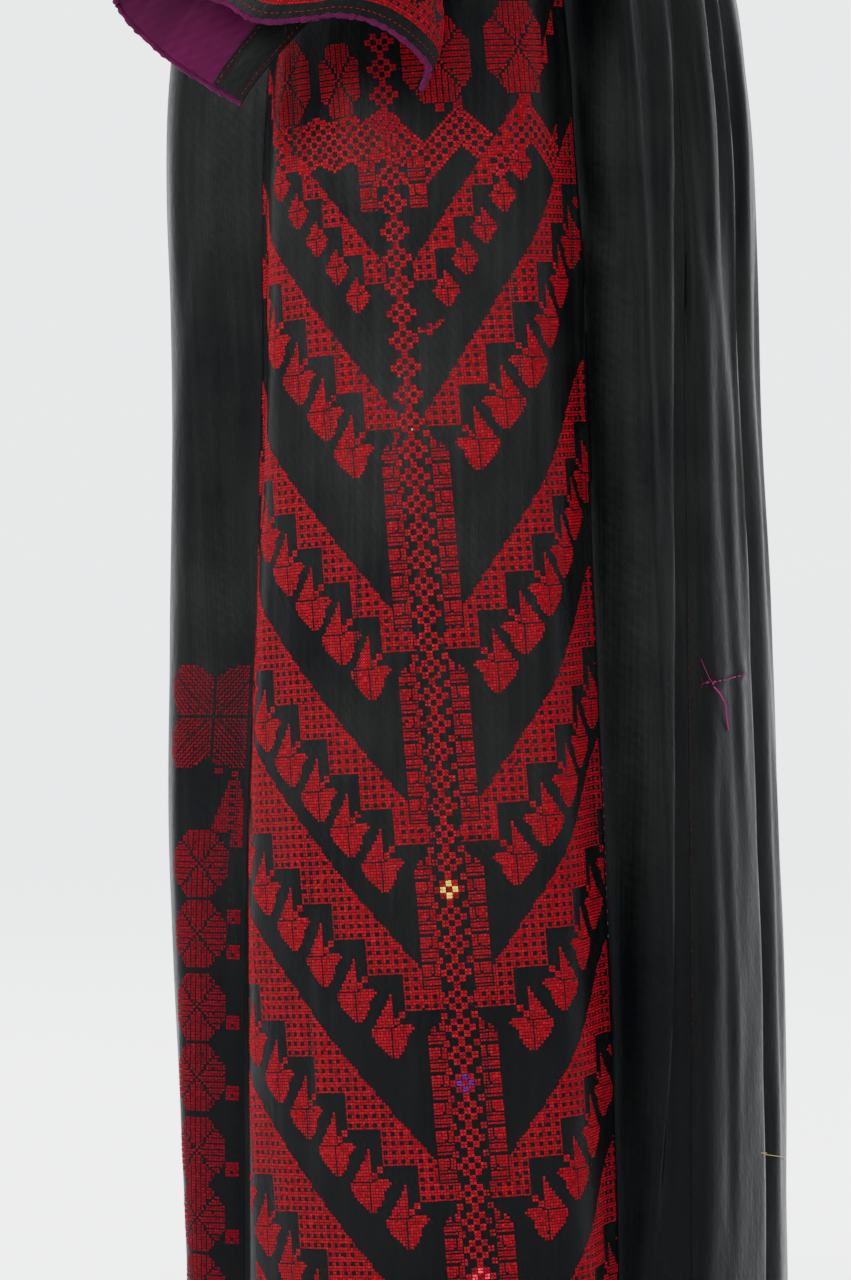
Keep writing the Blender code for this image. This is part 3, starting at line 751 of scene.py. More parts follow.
def running_stitches(
    route: Array, up: Array, length: float, gap: float, thread: Thread, rng: Random, width: float
) -> MeshParts:
    """A row of running stitches along a route on the cloth.

    Args:
        route: points along the seam.
        up: the cloth's normal at each of them.
        length: each stitch's length.
        gap: the space between two stitches.
        thread: the thread's colour.
        rng: what makes the stitches uneven.
        width: the thread's width.

    Returns:
        The stitches as one mesh.
    """
    steps = np.linalg.norm(np.diff(route, axis=0), axis=1)
    places = np.concatenate([[0], np.cumsum(steps)])
    centres = np.arange(length / 2, places[-1] - length / 2, length + gap)
    centres = centres + rng.uniform(-0.2, 0.2, len(centres)) * gap
    sizes = length * rng.uniform(0.8, 1.15, len(centres))

    def read(values: Array, at: Array) -> Array:
        """Values at lengths along the route."""
        return np.stack([np.interp(at, places, values[:, axis]) for axis in range(3)], -1)

    start, end = read(route, centres - sizes / 2), read(route, centres + sizes / 2)
    normal = unit(read(up, centres))
    along = end - start
    across = unit(np.cross(normal, along)) * width
    colours = thread_colours(np.full(len(centres), THREADS.index(thread)), rng)
    return scattered(DASH, (start + end) / 2, along, across, normal * width * 0.7, colours)


FLOWER_ROWS = 9
FLOWER = ((0, -3), (0, 1), (2, -5), (2, -1), (2, 3), (4, -3), (4, 1), (6, -1), (7, -1))
ACCENT_PETALS = ((0, -1), (2, -3), (2, 1), (4, -1))
BLOCK = ("XXXXXX",) * 3 + ("XX.XXX",) + ("XXXXXX",) * 4
STEPPED_BLOCK = (
    "X.....",
    "XX....",
    "XX.X..",
    "XX.XX.",
    "XXXXX.",
    "XXXXXX",
    "XXXXXX",
    "XXXXXX",
)
LEAF_LOBE = (0, 0, 1, 1, 2, 3, 3, 4, 5, 5, 6)
LEAF_OUTER = (7, 7, 7, 6, 6, 5, 4, 3, 2, 1)
LEAF_INNER = (8, 7, 6, 5, 5, 5, 4, 4, 3, 2)
SMALL_LOBE = (0, 1, 2, 2, 3, 4)
SMALL_OUTER = (4, 4, 3, 2, 2, 1)
SMALL_INNER = (5, 4, 4, 3, 2, 1)
SPRIG = (
    ".........XX",
    ".....XX.XX.",
    "..X...XXX..",
    "..XXXXX....",
    "XX...XX....",
)


@dataclass
class Chart:
    """A chart of cross stitches: one cell for each stitch, rows down and columns to the back."""

    first_row: int
    last_row: int
    first_column: int
    last_column: int
    cells: Array = field(init=False)
    strips: Array = field(init=False)
    pulls: Array = field(init=False)

    def __post_init__(self) -> None:
        """Starts with bare cloth."""
        self.cells = np.full((self.last_row - self.first_row, self.last_column - self.first_column), -1)
        self.strips = np.zeros_like(self.cells)
        self.pulls = np.zeros(self.cells.shape)

    def strip(self, row: int, column: int, number: int) -> None:
        """Puts a cell in a strip of stitches, which a narrow gap parts from the next strip."""
        if self.first_row <= row < self.last_row and self.first_column <= column < self.last_column:
            self.strips[row - self.first_row, column - self.first_column] = number

    def fill(
        self, row: int, first: int, last: int, thread: Thread = Thread.RED, bare: bool = False,
        pull: float = 0.08,
    ) -> None:
        """Fills, or bares, a run of cells in a row.

        Args:
            row: the row.
            first: one end of the run.
            last: its other end.
            thread: the thread's colour.
            bare: whether the cells are bared instead.
            pull: how far a side beside bare cloth is drawn in, as a share of a stitch.
        """
        low, high = min(first, last) - self.first_column, max(first, last) - self.first_column
        if self.first_row <= row < self.last_row and high >= 0:
            self.cells[row - self.first_row, max(low, 0) : high + 1] = -1 if bare else THREADS.index(thread)
            self.pulls[row - self.first_row, max(low, 0) : high + 1] = pull

    def squares(
        self, places: Sequence[tuple[int, int]], row: int, column: int,
        thread: Thread = Thread.RED, first: int = 1,
    ) -> None:
        """Small full squares of two by two stitches, each a little apart from its neighbours.

        Args:
            places: each square's upper left cell, down and over from the row and column.
            row: the row that they are counted from.
            column: the column that they are counted from.
            thread: the thread's colour.
            first: the first square's strip number.
        """
        for number, (down, over) in enumerate(places):
            for below in (0, 1):
                self.fill(row + down + below, column + over, column + over + 1, thread, pull=-0.06)
                for beside in (0, 1):
                    self.strip(row + down + below, column + over + beside, first + number)

    def stamp(
        self, pattern: Sequence[str], row: int, column: int, mirror: bool = False, thread: Thread = Thread.RED
    ) -> None:
        """Lays a small pattern with its upper left cell at a row and column, turned over if mirror."""
        for down, line in enumerate(pattern):
            for over, mark in enumerate(line[::-1] if mirror else line):
                if mark == "X":
                    self.fill(row + down, column + over, column + over, thread)

    def leaf(
        self, row: int, column: int, side: int,
        lobe: Sequence[int], outer: Sequence[int], inner: Sequence[int],
    ) -> None:
        """A leaf of three lobes that meet at one point, with thin lines between them.

        Args:
            row: the row below the point where the lobes meet.
            column: that point's column.
            side: 1 where outwards is to the back, -1 where it is to the front.
            lobe: how far the upper lobe reaches outwards, row by row.
            outer: how far the lower outer lobe reaches outwards.
            inner: how far the lower inner lobe reaches inwards.
        """
        for down, reach in enumerate(lobe):
            self.fill(row - len(lobe) + down, column, column + side * reach)
        for down, (out, back) in enumerate(zip(outer, inner)):
            self.fill(row + down, column - side * (back - 1), column + side * out)
            for over in range(1 - back, out + 1):
                self.strip(row + down, column + side * over, 1 if over <= 0 else 2)
        for over in range(2, inner[0] - 1):
            self.fill(row - 1, column - side * over, column - side * over)
            self.strip(row - 1, column - side * over, 1)

    def arms(self, bottom: int, slope: float, step: int, rise: int, small: bool) -> None:
        """A pair of latticed arms rising outwards from the stem, stepped below, with a leaf under each step.

        Args:
            bottom: the lowest row, at the stem.
            slope: how many rows the arm's upper edge rises for each column.
            step: each step's width in columns.
            rise: each step's height in rows.
            small: whether the leaves are the small ones.
        """
        inner = 6 if small else 7
        for side in (-1, 1):
            for out in range(5, 92):
                number = max(0, (out - inner) // step)
                upper = round(bottom - 6 - slope * (out - inner + 1))
                lower = bottom - rise * number
                next_column = inner + step * (number + 1) - 1
                last_lower = lower - rise
                for row in range(upper, lower + 1):
                    is_edge = row - upper < 2 or row == lower or (out == next_column and row > last_lower)
                    is_hole = (out - inner) % 3 == 1 and (bottom - row) % 3 == 1
                    if is_edge or not is_hole:
                        self.fill(row, side * out, side * out, pull=0.25)
            for number in range(9):
                lower = bottom - rise * number
                out = inner + step * (number + 1)
                if small:
                    if number < 5:
                        self.leaf(lower + 4, side * (out + 2), side, SMALL_LOBE, SMALL_OUTER, SMALL_INNER)
                        self.squares(((0, 0),), lower + 1, side * out - (side < 0), first=60)
                    continue
                self.leaf(lower + 6, side * (out + 4), side, LEAF_LOBE, LEAF_OUTER, LEAF_INNER)
                self.squares(((0, 0),), lower + 1, side * out - (side < 0), first=60)
                self.squares(((0, 0),), lower + 3, side * (out + 2) - (side < 0), first=61)

    def rosette(self, row: int, column: int, wide: int, high: int, thread: Thread = Thread.RED) -> None:
        """An eight-sided flower parted at its diagonals: upright stripes above and below, level ones beside.

        Args:
            row: its middle row.
            column: its middle column.
            wide: its width in stitches.
            high: its height in stitches.
            thread: the thread's colour.
        """
        half_w, half_h = wide / 2, high / 2
        for down in range(-(high // 2), high // 2 + 1):
            for over in range(-(wide // 2), wide // 2 + 1):
                x, y = abs(over) / half_w, abs(down) / half_h
                outside = x + y > 1.42 or x > 1 or y > 1
                parting = abs(x - y) < 0.5 / half_w
                is_upright = y > x
                if not outside and not parting:
                    self.fill(row + down, column + over, column + over, thread)
                    strip = (over + 60) // 2 if is_upright else 100 + (down + 60) // 2
                    self.strip(row + down, column + over, strip)

    def star(self, row: int, column: int, size: int, thread: Thread) -> None:
        """A large star of four arms with slanting double stripes, parted in eight fans.

        Args:
            row: its middle row.
            column: its middle column.
            size: its width and height in stitches.
            thread: the thread's colour.
        """
        half = size / 2
        for down in range(-(size // 2), size // 2 + 1):
            for over in range(-(size // 2), size // 2 + 1):
                x, y = abs(over), abs(down)
                far, near = max(x, y), min(x, y)
                outside = far > half or near < (far - half * 0.74) * 1.5 or far + near > half * 1.75
                if not outside and over and down:
                    self.fill(row + down, column + over, column + over, thread)
                    fan = (4 if over > 0 else 0) + (2 if down > 0 else 0) + (1 if x > y else 0)
                    self.strip(row + down, column + over, 1 + 40 * fan + (far - near) // 2)

    def stitched(self) -> tuple[Array, Array, Array, Array]:
        """All the stitches.

        Returns:
            Their rows, columns and thread numbers, and how far each one's sides are drawn in: towards lower
            and higher columns, then towards higher and lower rows.
        """
        rows, columns = np.nonzero(self.cells >= 0)
        cells = np.pad(self.cells, 1, constant_values=-1)
        strips = np.pad(self.strips, 1)
        drawn_in = []
        for down, over in ((0, -1), (0, 1), (1, 0), (-1, 0)):
            beside = (rows + 1 + down, columns + 1 + over)
            own = self.pulls[rows, columns]
            line = np.where(own < 0, 0.10, 0.25)
            parted = np.where(strips[beside] != self.strips[rows, columns], line, 0.02 if down == 0 else 0.06)
            drawn_in.append(np.where(cells[beside] < 0, own, parted))
        kinds = self.cells[rows, columns]
        return rows + self.first_row, columns + self.first_column, kinds, np.array(drawn_in)


@dataclass(frozen=True)
class SideChart:
    """The side panel's pattern: a stem of flowers between blocks, and pairs of latticed arms."""

    top: int = -215
    hem: int = 262
    half_width: int = 92
    stem_top: int = -200
    band_row: int = -174
    small_arms: int = -118
    arms: tuple[tuple[int, float, int, int], ...] = (
        (-70, 1.34, 10, 13),
        (3, 1.27, 10, 12),
        (66, 1.25, 11, 12),
        (120, 1.22, 12, 12),
        (182, 1.18, 12, 12),
        (245, 1.18, 12, 12),
        (308, 1.18, 12, 12),
        (371, 1.18, 12, 12),
    )
    accents: tuple[tuple[int, Thread], ...] = ((85, Thread.YELLOW), (147, Thread.VIOLET), (208, Thread.PINK))
    top_flowers: tuple[tuple[int, int, int, int], ...] = (
        (-188, -37, 19, 29),
        (-186, -16, 15, 25),
        (-190, 18, 23, 29),
        (-193, 46, 23, 31),
    )

    def draw(self) -> Chart:
        """The whole chart."""
        chart = Chart(self.top, self.hem, -self.half_width, self.half_width)
        self.draw_top(chart)
        chart.arms(self.small_arms, 1.3, 7, 10, True)
        for bottom, slope, step, rise in self.arms:
            chart.arms(bottom, slope, step, rise, False)
        self.draw_stem(chart)
        return chart

    def draw_stem(self, chart: Chart) -> None:
        """The flowers and the blocks beside them, between the arms."""
        for row in range(self.stem_top, self.hem, FLOWER_ROWS):
            chart.squares(FLOWER, row, 0)
            for accent, thread in self.accents:
                if row <= accent < row + FLOWER_ROWS:
                    chart.squares(ACCENT_PETALS, row, 0, thread, 20)
        chart.fill(-69, 0, 0, Thread.STRAW)
        starts = [arm[0] for arm in self.arms]
        for start, following in zip(starts, starts[1:]):
            for number, row in enumerate(range(start + 4, following - 12, FLOWER_ROWS)):
                self.beside(chart, STEPPED_BLOCK if number == 0 else BLOCK, row)
        chart.stamp(SPRIG, -104, 3)

    def beside(self, chart: Chart, block: Sequence[str], row: int) -> None:
        """A block on each side of the stem, in strips of two rows, with a link to the stem."""
        chart.stamp(block, row, 6)
        chart.stamp(block, row, -11, mirror=True)
        for side in (-1, 1):
            for down in range(len(block)):
                for over in range(6, 12):
                    upper = 1 if over < 8 else 2
                    chart.strip(row + down, side * over, 3 + (down + 1) // 2 if down > 3 else upper)
        chart.squares(((0, 4), (0, -6)), row - 2, 0, first=30)

    def draw_top(self, chart: Chart) -> None:
        """The band across the top, its zigzag, and the striped leaf flowers above them."""
        for column in range(-44, 66):
            on_right = column > 4
            zigzag = abs((column - 12) % 24 - 12) if on_right else abs((column + 44) % 12 - 6) // 2
            top = self.band_row + zigzag
            deep = 13 if on_right else 16
            for row in range(top, top + deep):
                level = row // 2
                if (column + 60 + 2 * (level % 2)) % 4 < 2 or row in (top, top + deep - 1):
                    chart.fill(row, column, column, pull=-0.10)
            if on_right and (column - 12) % 24 in (11, 12, 13):
                for row in range(top - 4, top):
                    chart.fill(row, column, column)
        for row in (-158, -149):
            self.beside(chart, BLOCK, row)
        for row, column, wide, high in self.top_flowers:
            chart.rosette(row, column, wide, high)
            for down in range(high // 2, self.band_row + 2 - row):
                chart.fill(row + down, column - 1, column + 1)


@dataclass(frozen=True)
class FrontChart:
    """The front panel's column: a large star, a chain, a small pyramid and rosettes down to the hem."""

    star_row: int = 26
    rosettes: tuple[int, ...] = (76, 100, 125, 149, 174, 197, 221, 245, 268)
    blocks: tuple[int, ...] = (66, 92, 104, 128, 152, 178, 201, 225, 249)
    thread: Thread = Thread.DARK_RED

    def draw(self) -> Chart:
        """The whole chart."""
        chart = Chart(0, 280, -24, 24)
        chart.star(self.star_row, 2, 35, self.thread)
        for row in range(self.star_row + 12, 46):
            over = 4 + (row - self.star_row - 12) // 4
            if row % 4 != 3:
                chart.fill(row, over - 1, over + 1, self.thread)
        for row in range(45, 66):
            wide = (row - 42) // 3
            chart.fill(row, 11 - wide, 11 + wide, self.thread)
            if row % 3 == 2:
                chart.fill(row, 10, 11, bare=True)
        for row in self.blocks:
            chart.stamp(BLOCK[:5], row, 11, thread=self.thread)
        for row in self.rosettes:
            chart.rosette(row, 0, 20, 23, self.thread)
        return chart


@dataclass(frozen=True)
class SleeveChart:
    """The band above the sleeve's hem: checks, flowers and a row of points."""

    length: int
    height: int = 34
    repeat: int = 12

    def draw(self) -> Chart:
        """The whole chart, row 0 nearest the hem."""
        chart = Chart(0, self.height, 0, self.length)
        for column in range(self.length):
            wave = abs(column % self.repeat - self.repeat // 2)
            for row in range(0, 12 - wave):
                if row % 3 != 2 or (column + row // 3) % 3:
                    chart.fill(row, column, column)
            for row in range(22, 25 + wave // 2):
                if (column + row) % 3:
                    chart.fill(row, column, column)
        for column in range(6, self.length - 6, self.repeat):
            chart.squares(FLOWER, 12, column)
        for column in range(-4, self.length - 7, self.repeat):
            chart.stamp(BLOCK, 10, column + 1)
            chart.stamp(BLOCK, 29, column + 7)
        return chart


class ClothMap:
    """Finds the angle at a distance along the cloth from an upright line, at any height."""

    def __init__(self, form: DressForm, line: Line, direction: int) -> None:
        """Measures the cloth level by level, out from the line both ways.

        Args:
            form: the dress.
            line: the line's angle at each height.
            direction: 1 where distances run to higher angles, -1 where they run to lower ones.
        """
        self.heights = np.linspace(-1.36, -0.30, 266)
        self.steps = np.linspace(-0.20, 0.20, 201)
        offsets = direction * np.linspace(-1.25, 1.25, 801)
        start = line(self.heights)[:, None]
        points = form.body_point(start + offsets, self.heights[:, None])
        lengths = np.cumsum(np.linalg.norm(np.diff(points, axis=1), axis=-1), axis=1)
        lengths = np.concatenate([np.zeros((len(start), 1)), lengths], 1)
        lengths -= lengths[:, 400:401]
        found = [np.interp(self.steps, row, offsets) for row in lengths]
        self.angles = start + np.array(found)

    def angle(self, along: Array, height: Array) -> Array:
        """The angle at a distance along the cloth and a height, read between the nearest measured ones."""
        row = (height - self.heights[0]) / (self.heights[1] - self.heights[0])
        column = (along - self.steps[0]) / (self.steps[1] - self.steps[0])
        row = np.clip(row, 0, len(self.heights) - 1.001)
        column = np.clip(column, 0, len(self.steps) - 1.001)
        low, left = row.astype(int), column.astype(int)
        up, right = row - low, column - left
        read = self.angles
        return (
            (1 - up) * ((1 - right) * read[low, left] + right * read[low, left + 1])
            + up * ((1 - right) * read[low + 1, left] + right * read[low + 1, left + 1])
        )


def by_node(operation: str, is_turned: bool = False) -> Callable[["Value", "Value | float"], "Value"]:
    """A Python operator on shader values that adds a Math node, its inputs turned round if is_turned."""

    def apply(own: "Value", other: "Value | float") -> "Value":
        """The node's output."""
        return own.maths(operation, *((other, own) if is_turned else (own, other)))

    return apply


class Value:
    """A shader value that takes part in Python sums: each operator adds its Math node."""

    def __init__(self, board: "Board", socket: bpy.types.NodeSocket) -> None:
        """Holds the board that the value's node is on, and the node's output."""
        self.board = board
        self.socket = socket

    def maths(self, operation: str, *inputs: "Value | float") -> "Value":
        """A Math node on these inputs."""
        return self.board.node("ShaderNodeMath", {"operation": operation}, inputs)

    __add__ = __radd__ = by_node("ADD")
    __mul__ = __rmul__ = by_node("MULTIPLY")
    __sub__ = by_node("SUBTRACT")
    __rsub__ = by_node("SUBTRACT", True)
    __pow__ = by_node("POWER")

    def distance(self) -> "Value":
        """How far it is from nothing, with no sign."""
        return self.maths("ABSOLUTE", self)

    def highest(self, other: "Value | float") -> "Value":
        """The greater of the two."""
        return self.maths("MAXIMUM", self, other)

    def between(self, low: float, high: float) -> "Value":
        """0 below low, 1 above high, and a straight line from one to the other."""
        ends = {0: self, 1: low, 2: high, 3: 0.0, 4: 1.0}
        return self.board.node("ShaderNodeMapRange", {"clamp": True}, ends)


class Board:
    """A material's nodes: every node but the Math ones comes from its one method."""

    def __init__(self, name: str) -> None:
        """Starts a material with its shader."""
        self.material = bpy.data.materials.new(name)
        self.material.use_nodes = True
        self.tree = self.material.node_tree
        self.shader = self.tree.nodes["Principled BSDF"]

    def node(
        self,
        kind: str,
        settings: dict[str, Any] | None = None,
        values: Sequence[Any] | dict[Any, Any] | None = None,
        output: int | str = 0,
    ) -> Value:
        """Adds a node.

        Args:
            kind: the node's type.
            settings: its settings, set first; stops are a ramp's places and colours.
            values: its inputs, in order or by name or number, each a Value or a plain value.
            output: which output to give back.

        Returns:
            The output, ready for sums.
        """
        made = self.tree.nodes.new(kind)
        for key, value in (settings or {}).items():
            if key == "stops":
                while len(made.color_ramp.elements) < len(value):
                    made.color_ramp.elements.new(0.5)
                for element, (place, colour) in zip(made.color_ramp.elements, value):
                    element.position = place
                    element.color = (*colour, 1)
            else:
                setattr(made, key, value)
        pairs = values.items() if isinstance(values, dict) else enumerate(values or ())
        for key, value in pairs:
            if isinstance(value, Value):
                self.tree.links.new(value.socket, made.inputs[key])
            else:
                made.inputs[key].default_value = value
        return Value(self, made.outputs[output])

    def mix(self, share: Value | float, first: Any, second: Any) -> Value:
        """A colour between two others."""
        colours = [part if isinstance(part, Value) else (*part, 1) for part in (first, second)]
        return self.node("ShaderNodeMix", {"data_type": "RGBA"}, {0: share, 6: colours[0], 7: colours[1]}, 2)

    def cloth_place(self, stretch: Triple, turn: float = 0.0) -> Value:
        """The place on the flat cloth, in metres, stretched for a pattern."""
        place = self.node("ShaderNodeUVMap", {"uv_map": "cloth"})
        return self.node("ShaderNodeMapping", None, {0: place, 2: (0, 0, turn), 3: stretch})

    def noise(self, place: Value, scale: float, detail: float = 3.0, roughness: float = 0.55) -> Value:
        """Soft noise from 0 to 1."""
        return self.node("ShaderNodeTexNoise", None, {"Vector": place, 2: scale, 3: detail, 4: roughness})

    def waves(self, direction: str, place: Value, scale: float, unevenness: float) -> Value:
        """Parallel waves from 0 to 1."""
        sizes = {0: place, 1: scale, 2: unevenness}
        return self.node("ShaderNodeTexWave", {"bands_direction": direction}, sizes)

    def bump(self, height: Value, distance: float, strength: float, under: Value | None = None) -> Value:
        """A bump of this height in metres, on top of another if given."""
        values: dict[Any, Any] = {"Strength": strength, "Distance": distance, "Height": height}
        if under is not None:
            values["Normal"] = under
        return self.node("ShaderNodeBump", None, values)

    def finish(self, numbers: dict[str, Any], links: dict[str, Value]) -> Finish:
        """Sets the shader's own sockets and gives the material."""
        for name, value in numbers.items():
            self.shader.inputs[name].default_value = value
        for name, value in links.items():
            self.tree.links.new(value.socket, self.shader.inputs[name])
        return self.material


@dataclass(frozen=True)
class SatinFinish:
    """Cotton satin: fine threads with long floats, upright streaks, faint wear with a painted sheen that is
    strongest between heights -0.78 and -0.66, and creasing.
    """

    name: str
    deep: Triple
    # pale: the colour of worn places and of the painted sheen
    pale: Triple
    roughness: float
    gloss: float = 0.022
    pitch: float = 0.00034
    wear: float = 0.5

    def make(self) -> Finish:
        """The material."""
        board = Board(self.name)
        place = board.cloth_place((1, 1, 1))
        streaks = board.noise(board.cloth_place((160, 5, 1)), 1.0, 4.0)
        patches = board.noise(place, 9.0, 3.0)
        fine = board.noise(place, 210.0, 2.0)
        crumple = board.noise(board.cloth_place((44, 17, 1), 0.22), 1.0, 5.0, 0.6)
        warp = board.waves("X", place, 1 / self.pitch / 20, 0.35)
        weft = board.waves("DIAGONAL", place, 1 / self.pitch / 34, 0.8)
        weave = warp * 0.55 + weft * 0.45
        local = board.node("ShaderNodeTexCoord", None, None, "Object")
        heights = board.node("ShaderNodeSeparateXYZ", None, {0: local})
        level = Value(board, heights.socket.node.outputs[2])
        # Painted sheen: the satin is paler from height -1.12 up, most between -0.78 and -0.66, and the mask
        # falls to half above -0.46.
        sheen_by_height = level.between(-1.12, -0.78) * (1 - level.between(-0.66, -0.46) * 0.5)
        streaked = streaks.between(0.45, 0.8) * 0.22
        # Random worn patches and streaks, scaled up where the painted sheen is.
        wear_and_sheen = (patches.between(0.30, 0.86) * self.wear + streaked) * (0.5 + 0.5 * fine)
        wear_and_sheen = wear_and_sheen * (0.25 + 0.75 * sheen_by_height)
        colour = board.mix(wear_and_sheen, self.deep, self.pale)
        colour = board.mix((1 - weave) * 0.35, colour, tuple(0.35 * part for part in self.deep))
        roughness = self.roughness + 0.14 * (fine - 0.5) + 0.10 * (patches - 0.5)
        creasing = board.noise(board.cloth_place((140, 56, 1), -0.34), 1.0, 4.0)
        normal = board.bump(crumple * 0.65 + creasing * 0.35, 0.0017, 0.70)
        normal = board.bump(weave, 0.00005, 0.8, normal)
        return board.finish(
            {"Specular IOR Level": self.gloss},
            {"Base Color": colour, "Roughness": roughness, "Normal": normal},
        )


@dataclass(frozen=True)
class StitchFinish:
    """Embroidery thread: each cell of the map is one cross of two twisted threads, with painted shade beside
    the cross's arms.
    """

    name: str = "embroidery_thread"
    roughness: float = 0.62

    def make(self) -> Finish:
        """The material."""
        board = Board(self.name)
        place = board.node("ShaderNodeUVMap", {"uv_map": "cloth"})
        parts = board.node("ShaderNodeSeparateXYZ", None, {0: place})
        x, y = Value(board, parts.socket.node.outputs[0]), Value(board, parts.socket.node.outputs[1])
        rising = 1 - (x - y).distance() * 3.1
        falling = 1 - (x + y - 1).distance() * 3.1
        cross = rising.highest(falling).highest(0.0)
        thread = board.node("ShaderNodeAttribute", {"attribute_name": "thread"})
        local = board.node("ShaderNodeTexCoord", None, None, "Object")
        fibres = board.noise(local, 2600.0, 2.0)
        # Painted shade: the thread is darkened to a third away from the cross's two diagonal lines, in the
        # gaps beside its arms.
        shaded_thread = board.node("ShaderNodeVectorMath", {"operation": "SCALE"}, {0: thread, "Scale": 0.34})
        colour = board.mix(cross.between(0.0, 0.55) * (0.72 + 0.28 * fibres), shaded_thread, thread)
        normal = board.bump(cross**0.5 + 0.25 * fibres, 0.00035, 0.9)
        return board.finish(
            {"Roughness": self.roughness, "Specular IOR Level": 0.015},
            {"Base Color": colour, "Normal": normal},
        )


@dataclass(frozen=True)
class RollFinish:
    """The purple rolled edge: close oversewing threads round a cord, with painted shade between the turns."""

    name: str = "rolled_edge"
    # deep is the painted shade between the turns, pale the thread on them
    deep: Triple = (0.008, 0.0003, 0.004)
    pale: Triple = (0.100, 0.0030, 0.048)

    def make(self) -> Finish:
        """The material."""
        board = Board(self.name)
        place = board.cloth_place((60, 1, 1))
        turns = board.waves("DIAGONAL", place, 62.0, 2.4)
        tufts = board.noise(board.cloth_place((200, 300, 1)), 1.0, 4.0)
        # Painted shade and highlight: the thread is dark between the turns and pale on them, with random
        # tufts.
        colour = board.mix(turns * (0.5 + 0.5 * tufts), self.deep, self.pale)
        normal = board.bump(turns + 0.5 * tufts, 0.0004, 0.9)
        numbers = {"Roughness": 0.7, "Specular IOR Level": 0.04}
        return board.finish(numbers, {"Base Color": colour, "Normal": normal})


@dataclass
class Wardrobe:
    """All the finishes, and how a piece is joined to the frame."""

    satin: Finish = field(init=False)
    lining: Finish = field(init=False)
    stitches: Finish = field(init=False)
    roll: Finish = field(init=False)

    def __post_init__(self) -> None:
        """Makes the finishes."""
        self.satin = SatinFinish(
            "black_cotton_satin", (0.0005, 0.0007, 0.0008), (0.0125, 0.0132, 0.0118), 0.42
        ).make()
        self.lining = SatinFinish(
            "purple_lining_satin", (0.012, 0.0005, 0.006), (0.080, 0.0027, 0.035), 0.36
        ).make()
        self.stitches = StitchFinish().make()
        self.roll = RollFinish().make()

    @staticmethod
    def place(
        piece: Piece, finish: Finish, slot: Slot, replaces: str | None = None
    ) -> Piece:
        """Dresses a piece and joins it to the frame.

        Args:
            piece: the object.
            finish: its material.
            slot: the record's finish that it takes; not used.
            replaces: the solid it stands for, if any.

        Returns:
            The same object.
        """
        piece.data.materials.append(finish)
        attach(piece, "root")
        if replaces:
            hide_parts(replaces)
        LOG.info("%s: %d faces", piece.name, len(piece.data.polygons))
        return piece


@dataclass(frozen=True)
class Cut:
    """The flat cut of a piece of cloth: its width and length, and its area where it isn't a rectangle."""

    width: float
    length: float
    area: float


